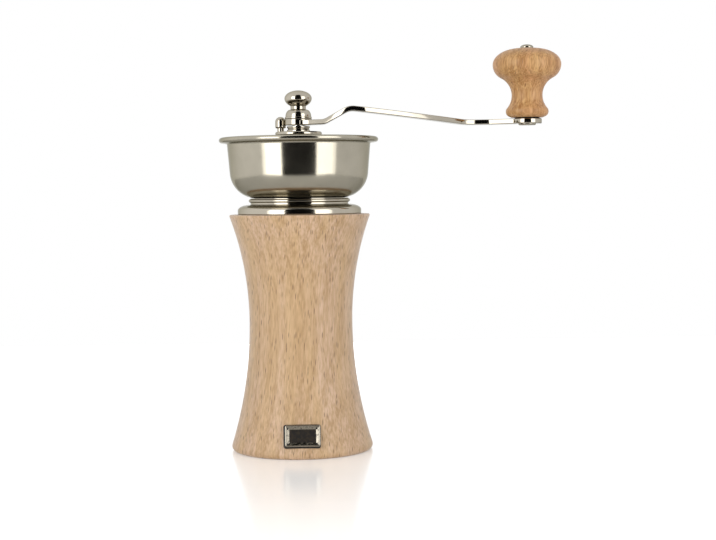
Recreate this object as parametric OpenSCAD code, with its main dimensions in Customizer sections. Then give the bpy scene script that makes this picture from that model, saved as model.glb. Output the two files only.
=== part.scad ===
// Hand-cranked coffee mill. A waisted wooden body catches the ground coffee. A metal head lifts off
// it: an open bowl on a turned collar, a pair of conical burrs, a bridge that carries the spindle,
// a disc that sets the grind, and an S-shaped crank with a turned wooden knob.
// The origin is the centre of the foot, +Z is up, and the crank points to +X.

/* [Wooden body] */
// Height of the wooden body
body_h = 132; // [120:1:150]
// Diameter of the body at its foot and at its top edge
body_d = 79; // [76:0.5:90]
// Diameter at the waist
waist_d = 57.6; // [54:0.2:64]
// Height of the straight band at the foot
foot_h = 3; // [2.6:0.1:6]
// Height of the waist's narrowest line
waist_z = 72.4; // [60:0.2:80]
// Rounding of the foot's lower edge
foot_round = 2.5; // [1:0.1:2.6]
// Rounding of the top edge
top_round = 1; // [0.4:0.1:1.5]
// Diameter of the chamber that catches the ground coffee
chamber_d = 44; // [36:0.5:46]
// Thickness of wood under the chamber
chamber_floor = 10; // [6:0.5:16]

/* [Name plate] */
// Width of the blank plate
plate_w = 20.2; // [16:0.2:26]
// Height of the blank plate
plate_h = 12.8; // [10:0.2:16]
// Height of the plate's middle above the table
plate_z = 12.6; // [11:0.2:18]
// Thickness of the plate in its middle
plate_t = 1.3; // [1:0.1:2]
// Width of the raised border
plate_border = 1.3; // [0.8:0.1:2]
// Depth of the panel inside the border
plate_recess = 0.4; // [0.2:0.05:0.7]
// Diameter of the four pins
pin_d = 1.2; // [0.8:0.1:1.6]
// Distance of the pins from the plate's edges
pin_inset = 2.2; // [1.8:0.1:3]
// Depth of the pins in the wood
pin_depth = 6; // [4:0.5:8]
// Height of the pins above the panel
pin_proud = 0.15; // [0.05:0.05:0.25]

/* [Collar] */
// Diameter of the flange that rests on the wood
flange_d = 69; // [62:0.5:74]
// Height of the flange
flange_h = 5.5; // [4.5:0.1:7]
// Rounding of the flange's upper edge
flange_round = 4; // [2:0.1:4.4]
// Height of the neck between the flange and the bowl
neck_h = 3.5; // [3:0.1:5]
// Diameter of the neck
neck_d = 54.6; // [53:0.2:58]
// Section radius of the bead round the neck
bead_r = 1.05; // [0.8:0.05:1.4]
// Distance of the bead below the bowl
bead_drop = 0.3; // [0.1:0.1:0.6]
// Diameter of the spigot that fits in the wood
spigot_d = 51; // [47:0.2:53]
// Clearance of the spigot in the wood, on the radius
spigot_gap = 0.25; // [0.2:0.05:0.5]
// Length of the skirt below the outer burr
skirt_h = 5; // [4.5:0.5:10]
// Step from the burr's seat out to the skirt's bore, on the radius
skirt_step = 1; // [0.6:0.1:1.5]
// Thickness of the shelf that carries the outer burr
shelf_t = 2; // [1.5:0.1:3]
// Section diameter of the seal ring
seal_d = 2; // [1.6:0.1:2.4]
// Depth of the seal ring below the flange
seal_drop = 6; // [3:0.5:8]

/* [Bowl] */
// Diameter of the bowl below its lip
bowl_d = 79.8; // [74:0.2:90]
// Height of the bowl from its floor to the foot of the lip
bowl_h = 29.5; // [24:0.5:40]
// Radius of the rounded lower corner
bowl_corner = 15; // [10:0.5:15.5]
// Lean of the wall, in degrees
bowl_lean = 4.8; // [1:0.2:7]
// Thickness of the spun sheet
sheet_t = 1.2; // [0.8:0.1:1.6]
// Diameter over the rolled lip
lip_d = 88.8; // [86:0.2:100]
// Height of the lip
lip_h = 4.3; // [3.6:0.1:6]
// Section radius of the rolled edge
lip_roll = 1.5; // [1:0.1:1.9]
// Diameter of the hole in the floor
throat_d = 30; // [29.4:0.2:32]

/* [Bridge] */
// Width of the strip
bridge_w = 12; // [10:0.5:14]
// Thickness of the strip
bridge_t = 2.2; // [1.6:0.1:2.6]
// Distance between the inner faces of the legs
bridge_span = 31.4; // [31:0.2:33]
// Depth of the bridge's top face below the rim
bridge_drop = 2; // [1.8:0.1:4]
// Inner radius of the bends
bridge_bend = 2.4; // [1.5:0.1:4]
// Inner radius of the bends at the feet
bridge_foot_bend = 0.4; // [0.2:0.1:0.6]
// Diameter of the round eye in the middle of the strip
bridge_eye_d = 20; // [18:0.5:24]
// Diameter of the flanged bush
bush_d = 12; // [10.5:0.5:14]
// Length of the bush below the bridge
bush_tail = 5; // [3:0.5:12]
// Thickness of the bush's flange
bush_flange_t = 1.2; // [0.8:0.1:1.6]
// Diameter of the bush's flange
bush_flange_d = 17; // [15:0.5:20]

/* [Fasteners] */
// Diameter of the machine screws
screw_d = 2.5; // [2.2:0.1:2.8]
// Diameter of the screw heads
screw_head_d = 4.5; // [4.2:0.1:4.9]
// Height of the screw heads
screw_head_h = 1.7; // [1.4:0.1:2.2]
// Width of the slots in the screw heads
screw_slot_w = 0.7; // [0.5:0.1:0.9]
// Depth of the slots in the screw heads
screw_slot_h = 0.8; // [0.5:0.1:0.9]
// Depth of the screws in the collar
screw_depth = 8; // [5:0.5:9]
// Depth of the bracket's screws in the skirt
bracket_screw_depth = 4; // [3:0.5:4.5]

/* [Burrs] */
// Height of the outer burr
burr_h = 16; // [15:0.5:20]
// Diameter of the outer burr
burr_d = 35; // [34.4:0.2:36.4]
// Diameter of the outer burr's bore at its lower edge
burr_exit_d = 29.2; // [28:0.2:29.4]
// Width of the outer burr's ledge below the floor's hole
ring_mouth = 0.4; // [0.2:0.1:0.6]
// Height of the fine grinding zone
fine_h = 6; // [4:0.5:8]
// Change of radius over each millimetre of the fine zone's height
fine_slope = 0.35; // [0.25:0.01:0.42]
// Gap between the burrs at the middle setting, on the radius
grind_gap = 0.6; // [0.5:0.05:0.9]
// Height of the inner burr
cone_h = 15; // [13:0.5:15.5]
// Diameter of the inner burr's upper end
cone_top_d = 12.4; // [12:0.2:14]
// Number of fine teeth on each burr
fine_teeth = 28; // [20:1:32]
// Number of coarse flutes on the inner burr
coarse_flutes = 7; // [5:1:8]
// Lean of the teeth, in degrees
tooth_lean = 24; // [10:1:30]
// Side of the square groove between fine teeth
fine_groove = 1.3; // [1:0.1:1.4]
// Side of the square flutes in the inner burr
cone_flute = 3.8; // [3:0.1:4.2]
// Side of the square flutes in the outer burr
ring_flute = 3.2; // [2.6:0.1:3.6]

/* [Spindle] */
// Diameter of the spindle
spindle_d = 8; // [7:0.2:8.6]
// Depth of the flat that drives the keyed pieces
spindle_flat = 0.8; // [0.6:0.05:1]
// Diameter of the spindle's threaded ends
thread_d = 6; // [5:0.2:6]
// Diameter of the shoulder above the inner burr
shoulder_d = 11.2; // [10:0.2:12]
// Height of the shoulder
shoulder_h = 2; // [1.5:0.1:4]
// Running clearance of the spindle, on the radius
running_gap = 0.05; // [0.03:0.01:0.08]
// Clearance between pieces that are pressed together, on the radius
press_gap = 0.02; // [0.01:0.01:0.04]
// Length of the spindle below its bracket
spindle_tail = 1; // [0.5:0.1:2]
// Thickness of the bracket under the burrs
bracket_t = 3; // [2:0.1:4]
// Width of the bracket
bracket_w = 11; // [10:0.5:13]
// Distance of the bracket's ends inside the spigot's edge
bracket_inset = 0.3; // [0.1:0.1:0.8]
// Diameter of the lower bush
lower_bush_d = 9; // [8.4:0.2:10]
// Width of the burr's nut across its flats
nut_w = 10; // [9:0.5:12]
// Height of the burr's nut
nut_h = 4; // [3:0.1:4.4]
// Thickness of the washer above the nut
burr_washer_t = 0.8; // [0.6:0.1:1.2]
// Diameter of the washer above the nut
burr_washer_d = 13; // [12.4:0.2:15]

/* [Grind adjuster] */
// Thickness of the keyed drive washer
drive_washer_t = 1.2; // [0.8:0.1:1.6]
// Diameter of the keyed drive washer
drive_washer_d = 15; // [12:0.5:18]
// Gap between faces that turn on each other
face_gap = 0.1; // [0.05:0.05:0.2]
// Diameter of the adjusting disc
disc_d = 26; // [25.6:0.2:30]
// Thickness of the adjusting disc
disc_t = 2.5; // [2.2:0.1:3.6]
// Rounding of the disc's edges
disc_edge = 1; // [0.4:0.1:1.1]
// Diameter of the boss on the disc
boss_d = 12.8; // [11:0.2:14]
// Height of the boss
boss_h = 3; // [2.4:0.1:4]
// Depth and half width of the groove round the boss
boss_groove = 0.5; // [0.3:0.05:0.6]
// Diameter of the little knob on the disc
stud_d = 6; // [5:0.2:6.2]
// Height of the little knob
stud_h = 8.5; // [6:0.5:9]
// Diameter of the little knob's neck
stud_neck_d = 4.2; // [3:0.2:4.4]
// Height of the little knob's neck
stud_neck_h = 1; // [0.6:0.1:1.6]
// Rounding of the little knob's lower edge
stud_edge = 0.8; // [0.4:0.1:1]
// Gap between the little knob and the crank's eye
stud_gap = 0.3; // [0.2:0.1:0.5]
// Direction of the little knob at rest, in degrees from the crank
stud_angle = 157; // [90:1:250]

/* [Crank] */
// Reach of the crank from the spindle to the knob, along X
arm_reach = 128.8; // [115:0.2:150]
// Length of the straight from the spindle to the first bend
arm_lead = 24.3; // [21:0.1:30]
// Direction of that straight, in degrees to the front of X
arm_lead_turn = 32; // [5:1:40]
// Radius of the first bend, seen from above
arm_bend_in = 20; // [15:0.5:26]
// Direction in which the long curve starts, in degrees to the back of X
arm_bow_from = 17; // [10:1:25]
// Steepest direction of the S, in degrees to the back of X
arm_bow_turn = 36; // [28:1:42]
// Radius of the last bend, seen from above
arm_bend_out = 22; // [16:0.5:28]
// Length of the straight from the last bend to the eye
arm_tail = 19; // [15:0.5:24]
// Direction of that straight, in degrees to the front of X
arm_tail_turn = 25; // [10:1:32]
// Width of the arm
arm_w = 9.6; // [8:0.2:11]
// Thickness of the arm
arm_t = 2.8; // [2.4:0.1:3.4]
// Diameter of the arm's eye on the spindle
hub_d = 15.2; // [14:0.2:15.4]
// Height of the arm's eye on the spindle
hub_h = 3.6; // [3:0.1:5]
// Distance from the spindle at which the arm turns up
arm_kick = 14.4; // [13:0.1:16]
// Height by which the arm rises to its crest
arm_rise = 7.1; // [5:0.1:9]
// Distance of the crest from the spindle
arm_crest = 28; // [26:0.1:34]
// Distance from the spindle at which the arm is level again
arm_level = 94; // [80:1:105]
// Radius of the bend where the arm turns up
arm_bend_up = 6; // [4:0.5:8]
// Radius of the bend at the crest
arm_bend_crest = 9; // [6:0.5:12]
// Radius of the bend where the arm is level again
arm_bend_level = 60; // [30:5:80]
// Height of the arm's outer end above its inner end
arm_lift = 0; // [0:0.1:2]
// Rounding of that eye's upper edge
hub_edge = 0.5; // [0.2:0.1:0.8]
// Gap between the disc's boss and the arm at the middle setting
hub_gap = 0.45; // [0.4:0.05:0.7]
// Diameter of the eye that carries the knob
eye_d = 16.4; // [14:0.2:18]

/* [Finial nut] */
// Diameter of the nut's ball
finial_d = 15.2; // [13:0.2:16]
// Diameter of the ring under the bell
finial_ring_d = 15; // [13.6:0.2:15.4]
// Height of the ring under the bell
finial_ring_h = 1.2; // [0.8:0.1:2]
// Rounding of the ring's edges
finial_ring_edge = 0.3; // [0.1:0.05:0.4]
// Diameter of the bell
finial_bell_d = 14.4; // [12:0.2:14.8]
// Height of the bell
finial_bell_h = 4; // [3:0.1:5]
// Diameter of the waist between the bell and the ball
finial_neck_d = 8.6; // [8.2:0.2:9.4]
// Height of the waist
finial_neck_h = 2; // [1.4:0.1:3]
// Height of the ball above its widest line
finial_crown = 4.5; // [3.5:0.1:6]
// Half height of the fuller oval below that line
finial_under = 5.1; // [4:0.1:6]
// Depth of the thread in the nut
finial_thread = 8; // [6:0.5:10]

/* [Knob] */
// Diameter of the knob's head
knob_d = 38.4; // [34:0.2:44]
// Height of the knob
knob_h = 38.6; // [36:0.2:48]
// Diameter of the knob's waist
knob_waist_d = 17.3; // [15:0.1:20]
// Diameter of the knob's foot
knob_foot_d = 24; // [21:0.2:28]
// Height of the waist above the knob's lower face
knob_waist_z = 12.4; // [12:0.1:16]
// Radius of the hollow at the waist
knob_hollow = 11; // [9:0.5:13]
// Section radius of the foot's edge
knob_edge = 3; // [2.4:0.1:3.2]
// Section radius of the head below its widest line
knob_under = 8.4; // [6:0.1:9]
// Diameter of the flat on the knob's crown
knob_flat_d = 10; // [8:0.5:16]
// Diameter of the pin that the knob turns on
crank_pin_d = 5.2; // [4:0.2:5.6]
// Diameter of the pin's head
crank_pin_head_d = 7.4; // [7:0.2:10]
// Height of the pin's head
crank_pin_head_h = 2.2; // [1.6:0.1:3]
// Rounding of the pin's head
crank_pin_dome = 1.5; // [0.8:0.1:1.6]
// Diameter of the pin's riveted end under the arm
rivet_d = 10; // [8:0.2:12]
// Height of the riveted end
rivet_h = 0.9; // [0.6:0.1:1.5]
// Wall of the metal sleeve in the knob
sleeve_t = 0.8; // [0.5:0.1:1.2]
// Thickness of the washer under the knob
knob_washer_t = 0.5; // [0.4:0.1:1.2]
// Diameter of the washer under the knob
knob_washer_d = 14; // [11:0.5:18]

/* [Hidden] */
$fn = 96;

wood = [0.78, 0.67, 0.55];
knob_wood = [0.76, 0.58, 0.40];
plated = [0.78, 0.77, 0.72];
steel = [0.60, 0.60, 0.60];
dark_steel = [0.38, 0.38, 0.39];
brass = [0.75, 0.62, 0.35];
rubber = [0.12, 0.12, 0.12];

// A cut that runs clear of the face it opens
past = 1;
// Room between pieces that stand side by side
side_gap = 0.1;
// Room below the end of a screw, a thread or a pin in its hole
end_gap = 0.5;
// Room round the seal ring, along its groove
seal_room = 0.4;
// Step between the outer burr's bore and the shelf under it
shelf_step = 0.6;
// Step from the spindle to its keyed tang, on the radius
tang_step = 0.8;
// Step from the little knob's neck to its tail, on the radius
tail_step = 0.8;
// How far the little knob's tail stops short of the disc's lower face
tail_short = 0.3;
// Step from the spindle's tang to the finial's thread, on the radius
thread_step = 0.4;
// How far the flutes' middle line lies from each cone, into the outer burr and off the inner one
ring_flute_in = 0.5;
cone_flute_out = 1.1;
// How far the grooves run past the zone they cut
tooth_run = 3;
// Where the flutes start, in degrees from the crank
ring_flute_turn = 5;
cone_flute_turn = 10;
// Points on each rounded corner of a path
corner_steps = 8;

// The waist is two arcs that meet at its narrowest line: one up to the top edge, one down to the foot
waist_in = (body_d - waist_d) / 2;
upper_r = arc_r(body_h - waist_z);
lower_r = arc_r(waist_z - foot_h);

// Levels of the head, from the wood upwards
flange_top = body_h + flange_h;
collar_top = flange_top + neck_h;
bowl_top = collar_top + bowl_h;
rim_z = bowl_top + lip_h;
bridge_top = rim_z - bridge_drop;
bush_top = bridge_top + bush_flange_t;
washer_z = bush_top + face_gap;
disc_z = washer_z + drive_washer_t + face_gap;
disc_top = disc_z + disc_t;
boss_top = disc_top + boss_h;
hub_z = boss_top + hub_gap;
hub_top = hub_z + hub_h;

// Levels of the head, from the wood downwards
burr_z = collar_top - burr_h;
skirt_z = burr_z - shelf_t - skirt_h;
bracket_z = skirt_z - bracket_t;
spindle_z = bracket_z - spindle_tail;
// The wood's wide bore ends below the bracket's screw heads
neck_room = 3;
neck_bore_z = bracket_z - screw_head_h - neck_room;

// Radii of the collar and its fits
spigot_r = spigot_d / 2;
neck_bore_r = spigot_r + spigot_gap;
seal_ring_r = neck_bore_r - running_gap - seal_d / 2;
seat_r = burr_d / 2 + press_gap;
exit_r = burr_exit_d / 2;
fine_r = exit_r - fine_slope * fine_h;
mouth_r = throat_d / 2 - ring_mouth;
skirt_r = seat_r + skirt_step;

// The bridge's legs, and the flat floor that their feet and screws need
leg_x = bridge_span / 2 + bridge_t / 2;
foot_start = leg_x + bridge_t / 2 + bridge_foot_bend;
floor_need = foot_start + screw_head_d + 2 * side_gap;

// The bowl's corner arc, no larger than the flat floor allows, and where its leaning wall leaves it
corner_share = cos(bowl_lean) - tan(bowl_lean) * (1 - sin(bowl_lean));
corner_room = (bowl_d / 2 - bowl_h * tan(bowl_lean) - floor_need) / corner_share;
corner_r = min(bowl_corner, corner_room);
corner_x = bowl_d / 2 - bowl_h * tan(bowl_lean) - corner_r * corner_share;
corner_z = collar_top + corner_r;

// The bridge stands on the floor of the bowl and its feet end where the floor turns up
floor_z = collar_top + sheet_t;
foot_end = corner_x - side_gap;
screw_x = (foot_start + foot_end) / 2;
bracket_screw_x = (skirt_r + spigot_r) / 2;

// Fits of the shafts and pins
spindle_r = spindle_d / 2;
flat_x = spindle_r - spindle_flat;
thread_r = thread_d / 2;
tang_r = spindle_r - tang_step;
tang_flat_x = tang_r - spindle_flat;
stud_r = stud_d / 2;
stud_reach = hub_d / 2 + stud_gap + stud_r;
stud_tail_r = stud_neck_d / 2 - tail_step;
finial_thread_r = thread_r - thread_step;
pin_r = pin_d / 2;
crank_pin_r = crank_pin_d / 2;
sleeve_r = crank_pin_r + running_gap + sleeve_t;

// The S of the crank seen from above. The long curve between its bends takes up the reach
arm_short = arm_lead * cos(arm_lead_turn) + arm_bend_in * (sin(arm_lead_turn) + sin(arm_bow_from))
    + arm_bend_out * (sin(arm_bow_turn) + sin(arm_tail_turn)) + arm_tail * cos(arm_tail_turn);
arm_bow_r = (arm_reach - arm_short) / (sin(arm_bow_turn) - sin(arm_bow_from));
lead_end = arm_lead * across_heading(-arm_lead_turn - 90);
bow_start = lead_end + arm_bend_in * (across_heading(-arm_lead_turn) - across_heading(arm_bow_from));
bow_end = bow_start + arm_bow_r * (across_heading(arm_bow_from) - across_heading(arm_bow_turn));
tail_start = bow_end + arm_bend_out * (across_heading(-arm_tail_turn) - across_heading(arm_bow_turn));
arm_sweep = tail_start.y - arm_tail * sin(arm_tail_turn);
arm_z = hub_z + arm_t / 2;
eye_z = arm_z + arm_lift;
eye_top = eye_z + arm_t / 2;
knob_z = eye_top + knob_washer_t + 2 * face_gap;

// Slope of the wooden surface behind the plate
plate_slope = asin((waist_z - plate_z) / lower_r);
plate_r = wood_r(plate_z);

// Radius of the arc that comes out by the waist's depth over a height
function arc_r(h) = (pow(h, 2) + pow(waist_in, 2)) / (2 * waist_in);
function wood_r(z) =
    let (r = z > waist_z ? upper_r : lower_r)
    waist_d / 2 + r - sqrt(pow(r, 2) - pow(z - waist_z, 2));
function unit(v) = v / norm(v);
function arc(c, r, a, b, steps = corner_steps) =
    [for (i = [0 : steps]) let (t = a + (b - a) * i / steps) c + r * [cos(t), sin(t)]];
// The other short side of a right-angled triangle
function side(long, short) = sqrt(pow(long, 2) - pow(short, 2));
// Unit vector a quarter turn to the left of a heading
function across_heading(a) = [-sin(a), cos(a)];
// Part of an upright oval
function oval(c, rx, ry, a, b, steps = corner_steps + 2) =
    [for (i = [0 : steps]) let (t = a + (b - a) * i / steps) c + [rx * cos(t), ry * sin(t)]];
// The points of a list after its first
function rest(list) = [for (i = [1 : len(list) - 1]) list[i]];
function backwards(list) = [for (i = [len(list) - 1 : -1 : 0]) list[i]];

// A corner at q, rounded with radius r, on the way from p to s
function rounded(p, q, s, r) =
    let (
        u = unit(p - q),
        v = unit(s - q),
        half = acos(u * v) / 2,
        c = q + unit(u + v) * r / sin(half),
        start = q + u * r / tan(half) - c,
        end = q + v * r / tan(half) - c,
        a = atan2(start.y, start.x),
        turn = (atan2(end.y, end.x) - a + 540) % 360 - 180
    )
    arc(c, r, a, a + turn);

// A path through the points, with its inner corners rounded
function bent(points, radii) = [
    points[0],
    for (i = [1 : len(points) - 2]) each rounded(points[i - 1], points[i], points[i + 1], radii[i - 1]),
    points[len(points) - 1]
];

// The path moved sideways by d, with mitred corners
function shifted(path, d) = [
    for (i = [0 : len(path) - 1])
        let (
            u = unit(path[max(i, 1)] - path[max(i, 1) - 1]),
            v = unit(path[min(i, len(path) - 2) + 1] - path[min(i, len(path) - 2)]),
            m = unit(u + v)
        )
        path[i] + d / (m * u) * [-m.y, m.x]
];

// A strip of even thickness along a path
module strip(path, thickness) {
    polygon(concat(shifted(path, thickness / 2), backwards(shifted(path, -thickness / 2))));
}

// A profile drawn across X and Z, extruded along Y by a width
module across(width) {
    translate([0, width / 2, 0])
        rotate([90, 0, 0])
            linear_extrude(width) children();
}

// The corner between two edges that meet at the origin, outside its rounding
module corner_waste(r) {
    difference() {
        translate([-r, -r]) square(r + past);
        translate([-r, -r]) circle(r);
    }
}

// A round hole with a flat on its -X side
module keyed_bore(r, flat, z, h) {
    translate([0, 0, z])
        difference() {
            cylinder(h = h, r = r);
            translate([-r - flat, -r, -past]) cube([r, 2 * r, h + 2 * past]);
        }
}

// A cheese-headed screw with its shank downwards and its head on z = 0
module screw(depth, r = screw_d / 2) {
    translate([0, 0, -depth]) cylinder(h = depth, r = r);
    difference() {
        cylinder(h = screw_head_h, d = screw_head_d);
        translate([-screw_head_d, -screw_slot_w / 2, screw_head_h - screw_slot_h])
            cube([2 * screw_head_d, screw_slot_w, screw_slot_h + past]);
    }
}

module on_both_sides(x) {
    for (side = [-1, 1]) translate([side * x, 0, 0]) children();
}

// One half of the waist's hollow, from a level above or below the narrowest line
module waist_cut(r, from, grow) {
    translate([waist_d / 2 + r, waist_z])
        intersection() {
            circle(r - grow, $fn = 360);
            translate([-r, from]) square([2 * r, body_h]);
        }
}

// The outer shape of the wood, with its surface moved out by grow
module body_profile(grow = 0) {
    difference() {
        square([body_d / 2 + grow, body_h]);
        waist_cut(upper_r, 0, grow);
        waist_cut(lower_r, -body_h, grow);
        translate([body_d / 2 + grow, 0]) mirror([0, 1]) corner_waste(foot_round);
        translate([body_d / 2 + grow, body_h]) corner_waste(top_round);
    }
}

module wooden_body() {
    color(wood)
        difference() {
            rotate_extrude() body_profile();
            translate([0, 0, chamber_floor]) cylinder(h = body_h, d = chamber_d);
            translate([0, 0, neck_bore_z]) cylinder(h = body_h, r = neck_bore_r);
            on_plate() at_pins() pin(pin_r + press_gap);
        }
}

// Local frame of the plate: x along its width, y up the wood, z outwards
module on_plate() {
    translate([0, -plate_r, plate_z])
        rotate([90 - plate_slope, 0, 0]) children();
}

module at_pins() {
    for (x = [-1, 1], y = [-1, 1])
        translate([x * (plate_w / 2 - pin_inset), y * (plate_h / 2 - pin_inset), 0]) children();
}

// A plain pin that stands a little above the panel
module pin(r) {
    proud = plate_t - plate_recess + pin_proud;
    translate([0, 0, -pin_depth]) cylinder(h = pin_depth + proud, r = r, $fn = 24);
}

module name_plate() {
    panel_w = plate_w - 2 * plate_border;
    panel_h = plate_h - 2 * plate_border;
    plate_back = plate_h / 2;
    color(plated)
        difference() {
            on_plate()
                translate([-plate_w / 2, -plate_h / 2, -plate_back])
                    cube([plate_w, plate_h, plate_back + plate_t]);
            on_plate()
                translate([-panel_w / 2, -panel_h / 2, plate_t - plate_recess])
                    cube([panel_w, panel_h, plate_recess + past]);
            rotate_extrude() body_profile(press_gap);
            on_plate() at_pins() pin(pin_r + press_gap);
        }
}

module plate_pins() {
    color(steel) on_plate() at_pins() pin(pin_r);
}

module collar_profile() {
    translate([0, skirt_z]) square([spigot_r, body_h - skirt_z + past]);
    difference() {
        translate([0, body_h]) square([flange_d / 2, flange_h]);
        translate([flange_d / 2, flange_top]) corner_waste(flange_round);
    }
    translate([0, body_h + past]) square([neck_d / 2, collar_top - body_h - past]);
    translate([neck_d / 2, collar_top - bead_drop - bead_r]) circle(bead_r);
}

module head_collar() {
    groove_r = seal_ring_r - seal_d / 2 - press_gap;
    groove_w = seal_d + seal_room;
    color(plated)
        difference() {
            rotate_extrude()
                difference() {
                    collar_profile();
                    translate([groove_r, body_h - seal_drop - groove_w / 2]) square([spigot_r, groove_w]);
                }
            translate([0, 0, burr_z]) cylinder(h = burr_h + past, r = seat_r);
            translate([0, 0, skirt_z - past]) cylinder(h = burr_z - skirt_z + 2 * past, r = exit_r + shelf_step);
            translate([0, 0, skirt_z - past]) cylinder(h = skirt_h + past, r = skirt_r);
            at_collar_screws() translate([0, 0, -screw_depth]) collar_screw_hole(screw_depth);
            translate([0, 0, skirt_z])
                on_both_sides(bracket_screw_x) collar_screw_hole(bracket_screw_depth, -past);
        }
}

module collar_screw_hole(depth, from = 0) {
    translate([0, 0, from]) cylinder(h = depth + past, r = screw_d / 2 + press_gap, $fn = 32);
}

// Four places on the collar's top: two under the bridge's feet and two beside them
module at_collar_screws() {
    for (turn = [0 : 90 : 270]) rotate(turn) translate([screw_x, 0, collar_top]) children();
}

module collar_seal() {
    color(rubber)
        rotate_extrude() translate([seal_ring_r, body_h - seal_drop]) circle(seal_d / 2, $fn = 32);
}

// The wall from its floor to the foot of the lip, moved in by a wall thickness
function bowl_side(wall) =
    let (r = corner_r - wall)
    concat(
        [[throat_d / 2, collar_top + wall]],
        arc([corner_x, corner_z], r, -90, -bowl_lean, 3 * corner_steps)
    );

// The lip: a flare that leaves the wall and ends in a rolled edge
function bowl_lip() =
    let (
        foot = [bowl_d / 2 - sheet_t / 2, bowl_top],
        roll = [lip_d / 2 - lip_roll, rim_z - lip_roll],
        u = unit(roll - foot),
        n = [u.y, -u.x] * sheet_t / 2,
        back = u * sqrt(pow(lip_roll, 2) - pow(sheet_t / 2, 2)),
        start = n - back,
        from = atan2(start.y, start.x),
        to = from + 360 - 2 * asin(sheet_t / 2 / lip_roll)
    )
    concat([[bowl_d / 2, bowl_top]], arc(roll, lip_roll, from, to, 3 * corner_steps), [foot - [sheet_t / 2, 0]]);

module hopper_bowl() {
    color(plated)
        difference() {
            rotate_extrude() polygon(concat(bowl_side(0), bowl_lip(), backwards(bowl_side(sheet_t))));
            at_collar_screws() translate([0, 0, -past]) collar_screw_hole(sheet_t + past);
        }
}

module bridge() {
    foot_mid = floor_z + bridge_t / 2;
    top_mid = bridge_top - bridge_t / 2;
    bend = bridge_bend + bridge_t / 2;
    foot_bend = bridge_foot_bend + bridge_t / 2;
    path = bent(
        [
            [-foot_end, foot_mid], [-leg_x, foot_mid], [-leg_x, top_mid],
            [leg_x, top_mid], [leg_x, foot_mid], [foot_end, foot_mid]
        ],
        [foot_bend, bend, bend, foot_bend]
    );
    color(plated)
        difference() {
            union() {
                intersection() {
                    across(bridge_w) strip(path, bridge_t);
                    cylinder(h = rim_z, r = foot_end);
                }
                translate([0, 0, bridge_top - bridge_t]) cylinder(h = bridge_t, d = bridge_eye_d);
            }
            translate([0, 0, bridge_top - bridge_t - past])
                cylinder(h = bridge_t + 2 * past, r = bush_d / 2 + press_gap);
            translate([0, 0, floor_z])
                on_both_sides(screw_x) translate([0, 0, -past]) collar_screw_hole(bridge_t + past);
        }
}

module bridge_screws() {
    color(steel)
        translate([0, 0, floor_z + bridge_t])
            on_both_sides(screw_x) screw(bridge_t + sheet_t + screw_depth - end_gap);
}

module floor_screws() {
    color(steel)
        translate([0, 0, floor_z])
            rotate(90) on_both_sides(screw_x) screw(sheet_t + screw_depth - end_gap);
}

module bridge_bush() {
    bottom = bridge_top - bridge_t - bush_tail;
    color(brass)
        difference() {
            union() {
                translate([0, 0, bottom]) cylinder(h = bush_top - bottom, d = bush_d);
                translate([0, 0, bridge_top]) cylinder(h = bush_flange_t, d = bush_flange_d);
            }
            translate([0, 0, bottom - past])
                cylinder(h = bush_top - bottom + 2 * past, r = spindle_r + running_gap);
        }
}

// V-shaped tooth gaps round a cone: a square bar across its corners, on the line from a to b
module tooth_gaps(count, a, b, side, lean, length, turned = 0) {
    mid = (a + b) / 2;
    slope = atan2(b.x - a.x, b.y - a.y);
    for (i = [0 : count - 1])
        rotate(turned + i * 360 / count)
            translate([mid.x, 0, mid.y])
                rotate([lean, slope, 0])
                    rotate(45) cube([side, side, length], center = true);
}

module outer_burr() {
    low = [exit_r, burr_z];
    middle = [fine_r, burr_z + fine_h];
    high = [mouth_r, collar_top];
    in = [ring_flute_in, 0];
    color(dark_steel)
        difference() {
            rotate_extrude()
                polygon([low, [burr_d / 2, burr_z], [burr_d / 2, collar_top], high, middle]);
            tooth_gaps(fine_teeth, low, middle, fine_groove, -tooth_lean, fine_h + tooth_run);
            tooth_gaps(
                coarse_flutes, middle - in, high - in, ring_flute, -tooth_lean, burr_h, ring_flute_turn
            );
        }
}

module lower_bracket() {
    reach = spigot_r - bracket_inset;
    color(steel)
        difference() {
            intersection() {
                translate([-reach, -bracket_w / 2, bracket_z]) cube([2 * reach, bracket_w, bracket_t]);
                translate([0, 0, bracket_z]) cylinder(h = bracket_t, r = reach);
            }
            translate([0, 0, bracket_z - past])
                cylinder(h = bracket_t + 2 * past, r = lower_bush_d / 2 + press_gap);
            translate([0, 0, bracket_z])
                on_both_sides(bracket_screw_x) collar_screw_hole(bracket_t + past, -past);
        }
}

module bracket_screws() {
    color(steel)
        translate([0, 0, bracket_z])
            mirror([0, 0, 1]) on_both_sides(bracket_screw_x) screw(bracket_t + bracket_screw_depth - end_gap);
}

module lower_bush() {
    color(brass)
        translate([0, 0, bracket_z])
            difference() {
                cylinder(h = bracket_t, d = lower_bush_d);
                translate([0, 0, -past]) cylinder(h = bracket_t + 2 * past, r = thread_r + running_gap);
            }
}

module drive_washer() {
    color(steel)
        difference() {
            translate([0, 0, washer_z]) cylinder(h = drive_washer_t, d = drive_washer_d);
            keyed_bore(
                spindle_r + running_gap, flat_x + running_gap,
                washer_z - past, drive_washer_t + 2 * past
            );
        }
}

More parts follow.
